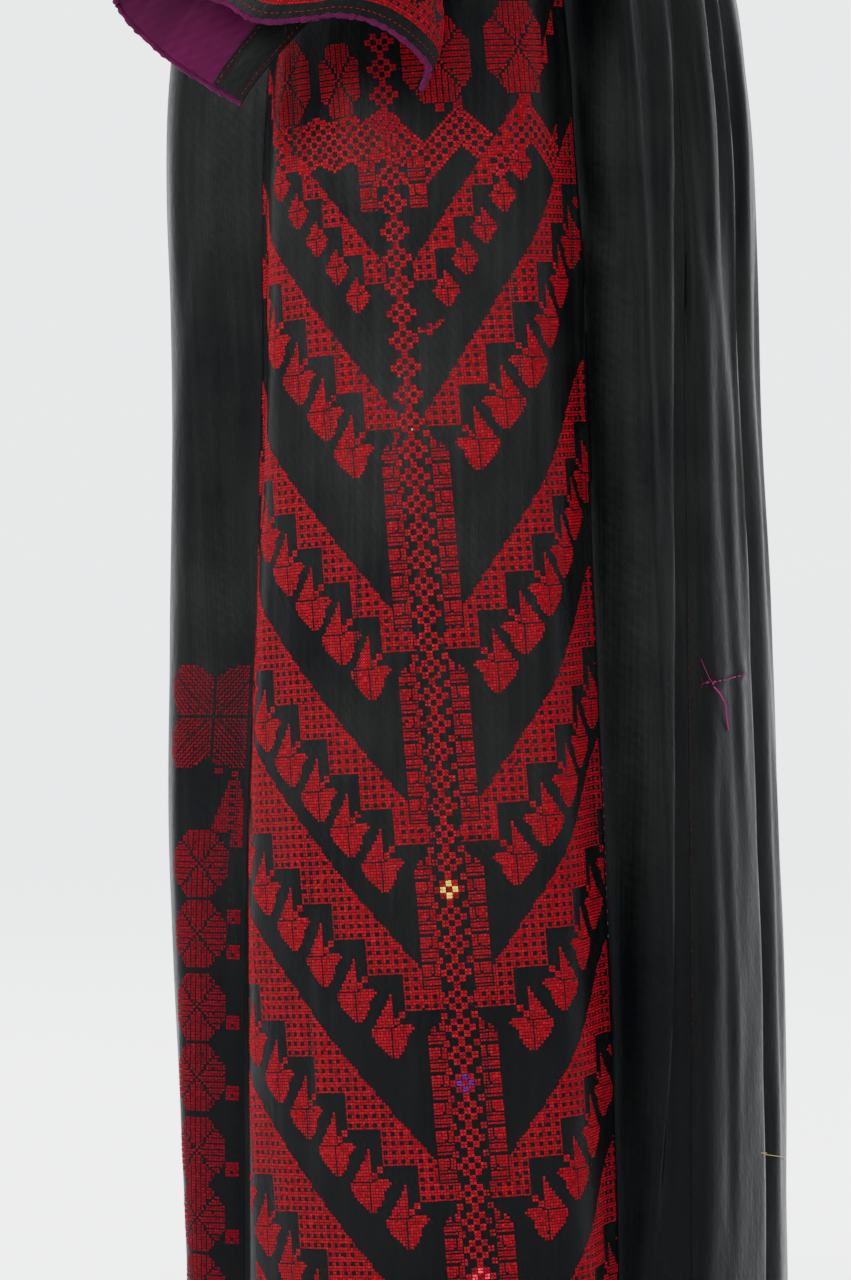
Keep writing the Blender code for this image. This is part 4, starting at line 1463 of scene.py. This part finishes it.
@dataclass
class Body:
    """The six body pieces: front, back, two side panels and two back gores."""

    form: DressForm
    wardrobe: Wardrobe
    rows: int = 190
    yoke_rows: int = 34
    yoke_height: float = 0.24
    slit_rise: float = 0.2
    neck_slit: float = 0.010
    front_half_width: float = 0.20
    back_width: float = 0.42
    flat_radius: float = 0.25
    seam_places: tuple[float, ...] = (0.0016, 0.0034, 0.0058, 0.0090)
    pieces: dict[str, Piece] = field(default_factory=dict)

    def shares(self, width: float, cells: int) -> Array:
        """Shares across a piece, even in the middle and close together at both seams."""
        even = np.linspace(0, 1, cells + 1)[1:-1]
        near = np.array(self.seam_places) / width
        even = even[(even > near[-1] * 1.3) & (even < 1 - near[-1] * 1.3)]
        return np.concatenate([[0], near, even, 1 - near[::-1], [1]])

    def heights(self) -> Array:
        """Rows from the hem to the underarm."""
        return np.linspace(-DRESS_LENGTH, UNDERARM, self.rows + 1)

    def panel(self, name: str, first: Line, last: Line, cells: int) -> None:
        """A side panel or gore between two lines of angle."""
        height = self.heights()[:, None]
        start, end = first(height), last(height)
        width = float(np.mean((end - start) * self.form.section(height, "half_width")))
        share = self.shares(width, cells)[None, :]
        gap = SEAM_GAP / 4 / self.form.section(height, "half_width")
        angle = start + gap + (end - start - 2 * gap) * share
        height = np.broadcast_to(height, angle.shape)
        points, normals = self.form.surface(angle, height)
        flat = np.stack([angle * self.flat_radius, height], -1)
        self.add(name, wall(points, points - CLOTH * normals, flat))

    def with_yoke(self, angle: Array, across: Array, is_front: bool) -> tuple[Array, Array, Array]:
        """The front or back: its rows below the underarm, continued to the shoulder seams and neckline.

        Args:
            angle: the angles below the underarm, row by row.
            across: each column's place from -1 to 1.
            is_front: whether it is the front.

        Returns:
            The points, the normals and the flat places.
        """
        height = np.broadcast_to(self.heights()[:, None], angle.shape)
        points, normals = self.form.surface(angle, height)
        rise = np.linspace(0, 1, self.yoke_rows + 1)[1:, None]
        wide = np.broadcast_to(across[None, :], (self.yoke_rows, len(across)))
        yoke = self.form.yoke_point(wide, np.broadcast_to(rise, wide.shape), is_front)
        whole = np.concatenate([points, yoke], 0)
        found = unit(np.cross(np.gradient(whole, axis=1), np.gradient(whole, axis=0)))
        found[: len(normals)] = normals
        upright = np.cross(np.gradient(whole[-1], axis=0), (0, 1.0, 0))
        upright = unit(upright * np.sign(upright[:, 2:3]))
        on_seam = np.abs(across) >= self.form.neck_share
        found[-1, on_seam] = upright[on_seam]
        lift = 0.0016 * np.sin(9 * wide + 4 * rise + 1) * np.sin(math.pi * rise) ** 2
        lift = lift + 0.0012 * np.sin(17 * wide - 6 * rise) * np.sin(math.pi * rise) ** 2
        whole[len(points) :] += lift[..., None] * found[len(points) :]
        level = np.concatenate([self.heights(), UNDERARM + self.yoke_height * rise[:, 0]])
        flat_x = angle * self.flat_radius
        flat_x = np.concatenate([flat_x, np.repeat(flat_x[-1:], self.yoke_rows, 0)])
        flat = np.stack(np.broadcast_arrays(flat_x, level[:, None]), -1)
        return whole, found, flat

    def front(self, cells: int) -> None:
        """The front panel, with its neck slit."""
        half = self.neck_slit / 2 / self.front_half_width
        right = half + (1 - half) * self.shares(self.front_half_width, cells // 2)
        across = np.concatenate([-right[::-1], right])
        gap = SEAM_GAP / 4 / self.form.section(self.heights()[:, None], "half_width")
        angle = across[None, :] * (self.form.seam(self.heights()[:, None], "side_front") - gap)
        points, normals, flat = self.with_yoke(angle, across, True)
        filled = np.ones((len(points) - 1, len(across) - 1), bool)
        slit_rows = round((1 - self.slit_rise) * self.yoke_rows)
        filled[-slit_rows:, len(right) - 1] = False
        self.add("front_panel", wall(points, points - CLOTH * normals, flat, filled))

    def back(self, cells: int) -> None:
        """The back panel."""
        across = 1 - 2 * self.shares(self.back_width, cells)
        gap = SEAM_GAP / 4 / self.form.section(self.heights()[:, None], "half_width")
        reach = math.pi - self.form.seam(self.heights()[:, None], "gore_back") - gap
        angle = math.pi - across[None, :] * reach
        points, normals, flat = self.with_yoke(angle, across, False)
        self.add("back_panel", wall(points, points - CLOTH * normals, flat))

    def add(self, name: str, parts: MeshParts) -> None:
        """Puts a piece in the scene in place of its solid."""
        piece = parts.build(f"{name}_cloth")
        self.pieces[name] = self.wardrobe.place(piece, self.wardrobe.satin, Slot.SATIN, name)

    def build(self) -> None:
        """All six pieces."""
        self.front(84)
        self.back(116)

        def left(name: str) -> Line:
            """A seam's line on the left."""
            return lambda height: self.form.seam(height, name)

        def right(name: str) -> Line:
            """A seam's line on the right, the left one's mirror image."""
            return lambda height: TURN - self.form.seam(height, name)

        self.panel("side_panel_left", left("side_front"), left("side_back"), 66)
        self.panel("back_gore_left", left("side_back"), left("gore_back"), 22)
        self.panel("back_gore_right", right("gore_back"), right("side_back"), 22)
        self.panel("side_panel_right", right("side_back"), right("side_front"), 66)


@dataclass
class Sleeves:
    """Both sleeves with their linings, slit facings, rolled edges, stitches and frayed threads."""

    form: SleeveForm
    wardrobe: Wardrobe
    cells: int = 150
    rows: int = 84
    facing_share: float = 2 / 30
    lining_share: float = 5 / 12
    roll_radius: float = 0.0021
    stitch_height: float = 0.0006
    girth: float = 0.42
    length: float = 0.45
    sewing_above_hem: float = 0.0040
    band_above_hem: float = 0.0105
    pieces: dict[str, Piece] = field(default_factory=dict)

    def build(self) -> None:
        """Everything on both sides."""
        points, normals = self.form.grid(self.cells, self.rows)
        across = np.linspace(0, self.girth, self.cells + 1)[None, :]
        down = np.linspace(0, self.length, self.rows + 1)[:, None]
        flat = np.stack(np.broadcast_arrays(across, down), -1)
        seam_column = self.cells - round(self.facing_share * self.cells)
        below = slice(self.rows - round(self.lining_share * self.rows), None)
        for side in SIDES:
            turned = (lambda place: place) if side == "left" else self.form.other_side
            rng = np.random.default_rng(7 if side == "left" else 11)
            outer, cloth_inside = turned(points), turned(points - CLOTH * normals)
            self.add(f"sleeve_{side}", wall(outer, cloth_inside, flat), self.wardrobe.satin, Slot.SATIN)
            outside = points - (CLOTH + SEAM_GAP) * normals
            inside = outside - LINING_CLOTH * normals
            crumple = self.crumple(1 - self.facing_share)[..., None] * normals
            for name, columns, finish, slot in (
                ("sleeve_lining", slice(None, seam_column + 1), self.wardrobe.lining, Slot.LINING),
                ("slit_facing", slice(seam_column, None), self.wardrobe.satin, Slot.SATIN),
            ):
                sunk = crumple if slot is Slot.LINING else 0 * crumple
                faces = [turned((layer - sunk)[below, columns]) for layer in (outside, inside)]
                self.add(f"{name}_{side}", wall(faces[0], faces[1], flat[below, columns]), finish, slot)
            self.edging(side, (points + inside) / 2, normals, turned, rng)
            self.sewing(side, points, normals, inside, turned, seam_column, rng)

    def crumple(self, facing: float) -> Array:
        """How far the lining's creases stand in from the sleeve, none at the hem and the facing."""
        round_it = np.linspace(0, 1, self.cells + 1)
        down = np.linspace(0, 1, self.rows + 1)
        lift = 1.5 * np.abs(self.form.relief(round_it, down, self.form.lining_creases))
        return lift * eased(round_it / 0.02) * eased((facing - round_it) / 0.03)

    def add(self, name: str, parts: MeshParts, finish: Finish, slot: Slot) -> None:
        """Puts a piece in the scene in place of its solid."""
        self.pieces[name] = self.wardrobe.place(parts.build(f"{name}_cloth"), finish, slot, name)

    def edging(
        self, side: str, middle: Array, normals: Array, turned: Line, rng: Random
    ) -> None:
        """The rolled edge along the hem, a little uneven, with short loose fibres at its corners."""
        reach = 0.6 * self.roll_radius
        edge = middle[-1]
        downwards = np.cross(np.gradient(edge, axis=0), normals[-1])
        downwards = unit(downwards * np.sign((downwards * (edge - middle[-2])).sum(-1, keepdims=True)))
        hem = edge + reach * downwards
        corner = hem[0] + (hem[0] - hem[1]) * 0.6
        up_slit = [corner + (middle[-1 - k, 0] - edge[0]) for k in (6, 4, 2)]
        route = np.concatenate([up_slit, [corner], hem])
        length = np.concatenate([[0], np.cumsum(np.linalg.norm(np.diff(route, axis=0), axis=1))])
        fine = np.linspace(0, length[-1], 360)
        path = np.stack([np.interp(fine, length, route[:, axis]) for axis in range(3)], -1)
        path += 0.00025 * np.sin(fine[:, None] * 310 + np.array([0, 2, 4]))
        radius = self.roll_radius * (0.95 + 0.12 * np.sin(fine * 900) + 0.10 * rng.standard_normal(len(fine)))
        name = f"sleeve_edging_{side}"
        piece = tube(turned(path), radius, 8).build(f"{name}_roll")
        self.pieces[name] = self.wardrobe.place(piece, self.wardrobe.roll, Slot.LINING, name)
        fibres = []
        stretches = ((0, 26, 26), (330, 358, 22), (0, 358, 34))
        for spot in np.concatenate([rng.integers(*stretch) for stretch in stretches]):
            away = unit(rng.standard_normal(3) + np.array([0, 0, -0.6]))
            bend = 0.0012 * rng.standard_normal(3)
            share = np.linspace(0, 1, 5)[:, None]
            line = path[spot] + away * share * rng.uniform(0.002, 0.0055) + bend * share**2
            fibres.append(tube(turned(line), np.linspace(0.00011, 0.00004, 5), 3))
        self.dress(MeshParts.joined(fibres).build(f"edge_fibres_{side}"), self.wardrobe.roll)

    def sewing(
        self,
        side: str,
        points: Array,
        normals: Array,
        inside: Array,
        turned: Line,
        seam_column: int,
        rng: Random,
    ) -> None:
        """The red running stitches above the hem and beside the slit facing, and the embroidered band."""

        def sewn(route: Array, ups: Array) -> MeshParts:
            """A row of stitches just above a route on the left sleeve, or its mirror image."""
            lifted = route + 0.0002 * ups
            upright = turned(lifted + 0.001 * ups) - turned(lifted)
            return running_stitches(
                turned(lifted), unit(upright), 0.0021, 0.0015, Thread.SEWING_RED, rng, 0.00042
            )

        up = self.upward(points)
        hem = self.along_hem(points, up, self.sewing_above_hem)
        rows = [sewn(hem, normals[-1])]
        start = self.rows - round(self.lining_share * self.rows)
        for column in (seam_column + 1, self.cells - 1):
            rows.append(sewn(inside[start:, column], -normals[start:, column]))
        rows.append(sewn(points[self.rows // 2 :, 1], normals[self.rows // 2 :, 1]))
        piece = MeshParts.joined(rows).build(f"sleeve_sewing_{side}")
        self.dress(piece, self.wardrobe.stitches)
        band = self.band(points, normals, up, turned, rng)
        self.dress(band.build(f"sleeve_embroidery_{side}", smooth=False), self.wardrobe.stitches)

    def dress(self, piece: Piece, finish: Finish) -> None:
        """Joins a piece that stands for no solid to the frame."""
        self.pieces[piece.name] = self.wardrobe.place(piece, finish, Slot.LINING)

    def upward(self, points: Array) -> Array:
        """How far each point lies above the hem, measured along the cloth."""
        steps = np.linalg.norm(np.diff(points, axis=0), axis=-1)[::-1]
        return np.concatenate([np.zeros((1, points.shape[1])), np.cumsum(steps, axis=0)])[::-1]

    def along_hem(self, points: Array, up: Array, distance: float) -> Array:
        """A line of points at one distance above the hem."""
        found = [
            [np.interp(distance, up[::-1, column], points[::-1, column, axis]) for axis in range(3)]
            for column in range(points.shape[1])
        ]
        return np.array(found)

    def band(
        self, points: Array, normals: Array, up: Array, turned: Line, rng: Random
    ) -> MeshParts:
        """The embroidered band: the chart's columns run along the hem and its rows up from it."""
        hem = points[-1]
        length = np.concatenate([[0], np.cumsum(np.linalg.norm(np.diff(hem, axis=0), axis=1))])
        chart = SleeveChart(int(length[-1] / STITCH) - 4).draw()
        rows, columns, kinds, free = chart.stitched()

        def at(row: Array, column: Array) -> tuple[Array, Array]:
            """Points and normals at chart places, read between the grid's own."""
            round_it = np.interp((column + 2.5) * STITCH, length, np.arange(len(length)))
            left = np.clip(round_it.astype(int), 0, points.shape[1] - 2)
            over = (round_it - left)[:, None]
            wanted = self.band_above_hem + row * STITCH
            ups = up[:, left] * (1 - over[:, 0]) + up[:, left + 1] * over[:, 0]
            below = np.clip((ups > wanted).sum(0) - 1, 0, points.shape[0] - 2)
            picked = np.arange(len(left))
            high, low = ups[below, picked], ups[below + 1, picked]
            share = np.clip((high - wanted) / np.maximum(high - low, 1e-9), 0, 1)[:, None]

            def read(grid: Array) -> Array:
                """A grid's values there."""
                upper = grid[below, left] * (1 - over) + grid[below, left + 1] * over
                lower = grid[below + 1, left] * (1 - over) + grid[below + 1, left + 1] * over
                return upper * (1 - share) + lower * share

            return read(points), read(normals)

        jitter = rng.uniform(-0.06, 0.06, (2, len(rows)))
        centre, normal = at(rows + jitter[0], columns + jitter[1])
        beside, _ = at(rows + jitter[0], columns + jitter[1] + 1)
        above, _ = at(rows + jitter[0] + 1, columns + jitter[1])
        origin = turned(centre)
        lift = unit(turned(centre + 0.001 * unit(normal)) - origin) * self.stitch_height
        colours = thread_colours(kinds, rng)
        shapes = pillows(free[[0, 1, 3, 2]])
        beside, above = turned(beside) - origin, turned(above) - origin
        return scattered(PILLOW, origin, beside, above, lift, colours, shapes)


@dataclass
class Embroidery:
    """The cross stitches of the side panels and the front."""

    form: DressForm
    wardrobe: Wardrobe
    body: Body
    axis_x: float = 430.0
    axis_lean: float = 0.083
    row_lean: float = math.radians(3.4)
    pivot: float = 640.0
    pivot_height: float = -0.849
    height: float = 0.00058
    seam_margin: float = 0.0030
    front_offset: float = 0.031
    front_top: float = -0.849
    hem_margin: float = 0.012
    lost_stitches: float = 0.004
    unevenness: float = 0.07
    split_row: int = 0
    row_limit: int = 400

    def axis_angle(self, height: Array) -> Array:
        """The angle of the side pattern's middle line, where the photo's leaning line meets the panel."""
        angle = np.radians(np.linspace(62, 112, 301))[None, :]
        points = self.form.body_point(angle, np.asarray(height)[:, None])
        across, down = View.seen(points)
        miss = across - (self.axis_x + self.axis_lean * (down - self.pivot))
        order = np.argmax(miss > 0, axis=1)
        rows = np.arange(len(order))
        before, after = miss[rows, order - 1], miss[rows, order]
        share = before / (before - after)
        return angle[0, order - 1] + share * (angle[0, order] - angle[0, order - 1])

    def stitches(
        self,
        chart: Chart,
        place: Callable[[Array, Array], tuple[Array, Array]],
        keep: Callable[[Array, Array], Array],
        rng: Random,
        rows: tuple[int, int],
    ) -> MeshParts:
        """The stitches of a chart's rows, on the cloth.

        Args:
            chart: the chart.
            place: gives the angle and height of a chart column and row.
            keep: tells which angles and heights are on the panel.
            rng: what makes the stitches uneven.
            rows: the first row, and the one after the last.

        Returns:
            The stitches as one mesh.
        """
        row, column, kind, free = chart.stitched()
        wanted = (row >= rows[0]) & (row < rows[1])
        row, column, kind, free = row[wanted] + 0.0, column[wanted] + 0.0, kind[wanted], free[:, wanted]
        angle, height = place(column, row)
        on_panel = keep(angle, height) & (rng.random(len(row)) > self.lost_stitches)
        row, column, kind, free = row[on_panel], column[on_panel], kind[on_panel], free[:, on_panel]
        row += rng.uniform(-self.unevenness, self.unevenness, len(row))
        column += rng.uniform(-self.unevenness, self.unevenness, len(row))
        centre, normal = self.form.surface(*place(column, row))
        beside, _ = self.form.surface(*place(column + 1, row))
        below, _ = self.form.surface(*place(column, row + 1))
        tall = self.height * rng.uniform(0.8, 1.2, (len(row), 1))
        colours = thread_colours(kind, rng)
        shapes = pillows(free)
        return scattered(PILLOW, centre, beside - centre, centre - below, normal * tall, colours, shapes)

    def side(self, name: str, is_left: bool) -> None:
        """One side panel's embroidery, in an upper and a lower piece."""
        lean = self.row_lean
        direction = 1 if is_left else -1
        cloth = ClothMap(self.form, lambda z: self.line(z, is_left), direction)

        def place(column: Array, row: Array) -> tuple[Array, Array]:
            """The angle and height of a chart cell: the chart is turned by the line's lean."""
            height = self.pivot_height - STITCH * (row * math.cos(lean) - column * math.sin(lean))
            return cloth.angle(column * STITCH / math.cos(lean), height), height

        def keep(angle: Array, height: Array) -> Array:
            """Whether a place is on the panel, clear of its seams and hem."""
            past_front = self.past_seam(angle, height, "side_front", is_left) > 0
            before_back = self.past_seam(angle, height, "side_back", is_left) < 0
            return past_front & before_back & (height > self.hem_margin - DRESS_LENGTH)

        chart = SideChart().draw()
        rng = np.random.default_rng(3 if is_left else 5)
        halves = {"upper": (-self.row_limit, self.split_row), "lower": (self.split_row, self.row_limit)}
        for part, rows in halves.items():
            self.add(f"embroidery_{name}_{part}", self.stitches(chart, place, keep, rng, rows))

    def past_seam(self, angle: Array, height: Array, name: str, is_left: bool) -> Array:
        """Which side of a seam places are on: 1 clear to its back, -1 clear to its front, 0 too near."""
        margin = self.seam_margin / self.form.section(height, "half_width")
        turned = angle if is_left else TURN - angle
        seam = self.form.seam(height, name)
        return (turned > seam + margin) * 1 - (turned < seam - margin) * 1

    def line(self, height: Array, is_left: bool) -> Array:
        """The middle line's angle on the left, or its mirror image on the right."""
        angle = self.axis_angle(height)
        return angle if is_left else TURN - angle

    def front(self, name: str, is_left: bool) -> None:
        """The column of rosettes on one side of the front panel."""
        direction = 1 if is_left else -1

        def seam_line(height: Array) -> Array:
            """The front seam's angle on this side."""
            seam = self.form.seam(height, "side_front")
            return seam if is_left else TURN - seam

        cloth = ClothMap(self.form, seam_line, direction)

        def place(column: Array, row: Array) -> tuple[Array, Array]:
            """The angle and height of a chart cell, whose columns run to the seam."""
            height = self.front_top - STITCH * row
            return cloth.angle(-self.front_offset + column * STITCH, height), height

        def keep(angle: Array, height: Array) -> Array:
            """Whether a place is on the front, clear of its seam and hem."""
            before_seam = self.past_seam(angle, height, "side_front", is_left) < 0
            return before_seam & (height > self.hem_margin - DRESS_LENGTH)

        rng = np.random.default_rng(13 if is_left else 17)
        chart = FrontChart().draw()
        self.add(f"embroidery_{name}", self.stitches(chart, place, keep, rng, (0, self.row_limit)))

    def add(self, name: str, parts: MeshParts) -> None:
        """Puts stitches in the scene."""
        piece = parts.build(name, smooth=False)
        self.body.pieces[name] = self.wardrobe.place(piece, self.wardrobe.stitches, Slot.LINING)

    def build(self) -> None:
        """All the stitches on the body."""
        self.side("side_left", True)
        self.side("side_right", False)
        self.front("front_left", True)
        self.front("front_right", False)


@dataclass
class SeamSewing:
    """Visible sewing on the back: the tuck's running stitches, seam stitches and loose threads."""

    form: DressForm
    wardrobe: Wardrobe
    body: Body
    above_tuck: float = 0.0018

    def along(self, angles: Array, heights: Array) -> tuple[Array, Array]:
        """Points and normals of a line on the cloth."""
        points, normals = self.form.surface(np.radians(angles), heights)
        return points + 0.0002 * normals, normals

    def build(self) -> None:
        """All of it, as one piece."""
        rng = np.random.default_rng(23)
        tuck = self.form.tuck
        degrees = np.linspace(tuck.first - 0.2, tuck.last, 40)
        gore_heights = np.linspace(-0.80, -1.11, 120)
        gore_seam = np.degrees(self.form.seam(gore_heights, "gore_back"))
        side_heights = np.linspace(-0.925, -1.034, 60)
        side_seam = np.degrees(self.form.seam(side_heights, "side_back"))
        tuck_route = self.along(degrees, tuck.height(degrees) + self.above_tuck)
        gore_route = self.along(gore_seam + 0.15, gore_heights)
        side_route = self.along(side_seam, side_heights)
        parts = [
            running_stitches(*tuck_route, 0.0032, 0.0020, Thread.PURPLE, rng, 0.0009),
            running_stitches(*gore_route, 0.0016, 0.0075, Thread.SEWING_RED, rng, 0.0004),
            running_stitches(*side_route, 0.0020, 0.0052, Thread.PURPLE, rng, 0.0005),
        ]
        piece = MeshParts.joined(parts).build("seam_sewing")
        self.body.pieces["seam_sewing"] = self.wardrobe.place(piece, self.wardrobe.stitches, Slot.LINING)
        self.loose_threads()

    def loose_threads(self) -> None:
        """A loose thread below the tuck, frayed ends at the hole beside it, and a pale one lower down."""
        rng = np.random.default_rng(29)
        strands, colours = [], []
        shapes = (
            (
                (139.4, 140.2, 141.0, 142.2, 143.0, 143.8),
                (-0.875, -0.8785, -0.883, -0.889, -0.897, -0.904),
                0.0005,
                Thread.PURPLE,
            ),
            ((138.0, 138.4, 139.4), (-0.8605, -0.868, -0.8745), 0.0002, Thread.PURPLE),
            ((152.0, 158.0, 164.0, 168.0), (-1.165, -1.168, -1.173, -1.176), 0.00022, Thread.STRAW),
        )
        for angles, heights, radius, thread in shapes:
            share = np.linspace(0, 1, 24)
            places = np.linspace(0, 1, len(angles))
            angle = np.radians(curve(share, places, np.array(angles)))
            points, normals = self.form.surface(angle, curve(share, places, np.array(heights)))
            lift = (0.0006 + 0.0022 * np.sin(math.pi * share) ** 2)[:, None]
            strands.append(tube(points + lift * normals, np.full(24, radius), 5))
            colours.append(thread)
        for _ in range(9):
            angle = np.radians(138.0 + rng.uniform(-0.5, 0.7))
            height = -0.871 + rng.uniform(-0.006, 0.005)
            point, normal = self.form.surface(np.array([angle]), np.array([height]))
            share = np.linspace(0, 1, 5)[:, None]
            way = unit(rng.standard_normal(3) * (0.3, 1, 1)) * rng.uniform(0.002, 0.005)
            line = point + 0.0004 * normal + share * way + 0.001 * share * normal
            strands.append(tube(line, np.full(5, 0.0001), 3))
            colours.append(Thread.BLACK if rng.random() < 0.6 else Thread.PURPLE)
        for strand, thread in zip(strands, colours):
            strand.colours = np.tile(np.array(thread.value), (len(strand.points), 1))
            strand.flat = np.full_like(strand.flat, 0.5)
        piece = MeshParts.joined(strands).build("loose_threads")
        self.body.pieces["loose_threads"] = self.wardrobe.place(piece, self.wardrobe.stitches, Slot.LINING)


@dataclass(frozen=True)
class View:
    """The photo's camera, level and square to the dress's left side."""

    distance: float = 3.2
    across: float = -0.0208
    height: float = -0.849
    lens: float = 140.6
    picture: tuple[int, int] = (851, 1280)

    @staticmethod
    def seen(points: Array) -> tuple[Array, Array]:
        """Where points appear in the photo, in its pixels."""
        view = View()
        scale = 36 / view.lens / view.picture[1] * (view.distance - points[..., 0])
        across = view.picture[0] / 2 + (points[..., 1] - view.across) / scale
        return across, view.picture[1] / 2 - (points[..., 2] - view.height) / scale

    def build(self) -> None:
        """Makes the camera and gives it to the scene."""
        data = bpy.data.cameras.new("photo_camera")
        data.lens = self.lens
        data.sensor_width = 36
        data.sensor_height = 36
        camera = bpy.data.objects.new("photo_camera", data)
        camera.location = (self.distance, self.across, self.height)
        camera.rotation_euler = (math.pi / 2, 0, math.pi / 2)
        bpy.context.scene.collection.objects.link(camera)
        bpy.context.scene.camera = camera


@dataclass(frozen=True)
class Studio:
    """A pale floor that curves up all round, and soft lights."""

    floor: float = -1.352
    aim: Triple = (0, 0, -0.8)
    flat_radius: float = 9.0
    curve_radius: float = 5.0
    sides: int = 96

    def build(self) -> None:
        """The floor, the lights and the air's own light."""
        radius = np.concatenate([[0.001], np.linspace(0.5, self.flat_radius, 18)])
        rise = np.zeros(len(radius))
        turn = np.linspace(0, math.pi / 2, 14)[1:]
        radius = np.concatenate([radius, self.flat_radius + self.curve_radius * np.sin(turn)])
        rise = np.concatenate([rise, self.curve_radius * (1 - np.cos(turn))])
        angle = np.linspace(0, TURN, self.sides, endpoint=False)
        points = np.stack(
            np.broadcast_arrays(
                radius[:, None] * np.cos(angle), radius[:, None] * np.sin(angle), self.floor + rise[:, None]
            ),
            -1,
        )
        index = np.arange(points.shape[0] * self.sides).reshape(-1, self.sides)
        after = np.roll(index, -1, axis=1)
        quads = np.stack([index[:-1], index[1:], after[1:], after[:-1]], -1).reshape(-1, 4)
        floor = MeshParts(points.reshape(-1, 3), quads).build("studio_floor")
        board = Board("studio_white")
        local = board.node("ShaderNodeTexCoord", None, None, "Object")
        colour = board.mix(board.noise(local, 3.0), (0.86, 0.87, 0.88), (0.89, 0.89, 0.90))
        floor.data.materials.append(board.finish({"Roughness": 0.9}, {"Base Color": colour}))
        self.light("key", (3.0, -3.0, 1.4), 560, 1.6)
        self.light("fill", (4.2, 1.6, 0.4), 130, 2.2)
        self.light("far_side", (-3.4, -2.0, 1.6), 110, 2.2)
        self.light("behind", (-2.8, 2.6, 1.6), 35, 2.2)
        world = bpy.data.worlds.new("studio_air")
        world.use_nodes = True
        air = world.node_tree.nodes["Background"].inputs
        air[0].default_value = (0.95, 0.97, 1.0, 1)
        air[1].default_value = 4.5
        bpy.context.scene.world = world

    def light(self, name: str, place: Triple, power: float, size: float) -> None:
        """A soft square light that faces the dress."""
        data = bpy.data.lights.new(name, "AREA")
        data.energy = power
        data.size = size
        lamp = bpy.data.objects.new(name, data)
        lamp.location = place
        away = np.array(place) - np.array(self.aim)
        flat = math.hypot(away[0], away[1])
        lamp.rotation_euler = (math.atan2(flat, away[2]), 0, math.atan2(away[1], away[0]) + math.pi / 2)
        bpy.context.scene.collection.objects.link(lamp)


def declare_sheets() -> None:
    """Lists which pieces each piece of cloth hangs from, and does nothing with the list."""
    hangs_from = {"back_panel": ("front_panel",), "front_panel": ("back_panel",)}
    for side in SIDES:
        hangs_from[f"side_panel_{side}"] = ("front_panel", f"back_gore_{side}")
        hangs_from[f"back_gore_{side}"] = ("back_panel",)
        hangs_from[f"sleeve_{side}"] = ("front_panel", "back_panel")
        hangs_from[f"sleeve_lining_{side}"] = hangs_from[f"slit_facing_{side}"] = (f"sleeve_{side}",)


def main() -> None:
    """Builds the dress, the camera and the studio in order."""
    logging.basicConfig(level=logging.INFO, format="%(name)s %(message)s")
    View().build()
    form = DressForm()
    wardrobe = Wardrobe()
    body = Body(form, wardrobe)
    body.build()
    sleeves = Sleeves(SleeveForm(form), wardrobe)
    sleeves.build()
    Embroidery(form, wardrobe, body).build()
    SeamSewing(form, wardrobe, body).build()
    declare_sheets()
    Studio().build()


if __name__ == "__main__":
    main()
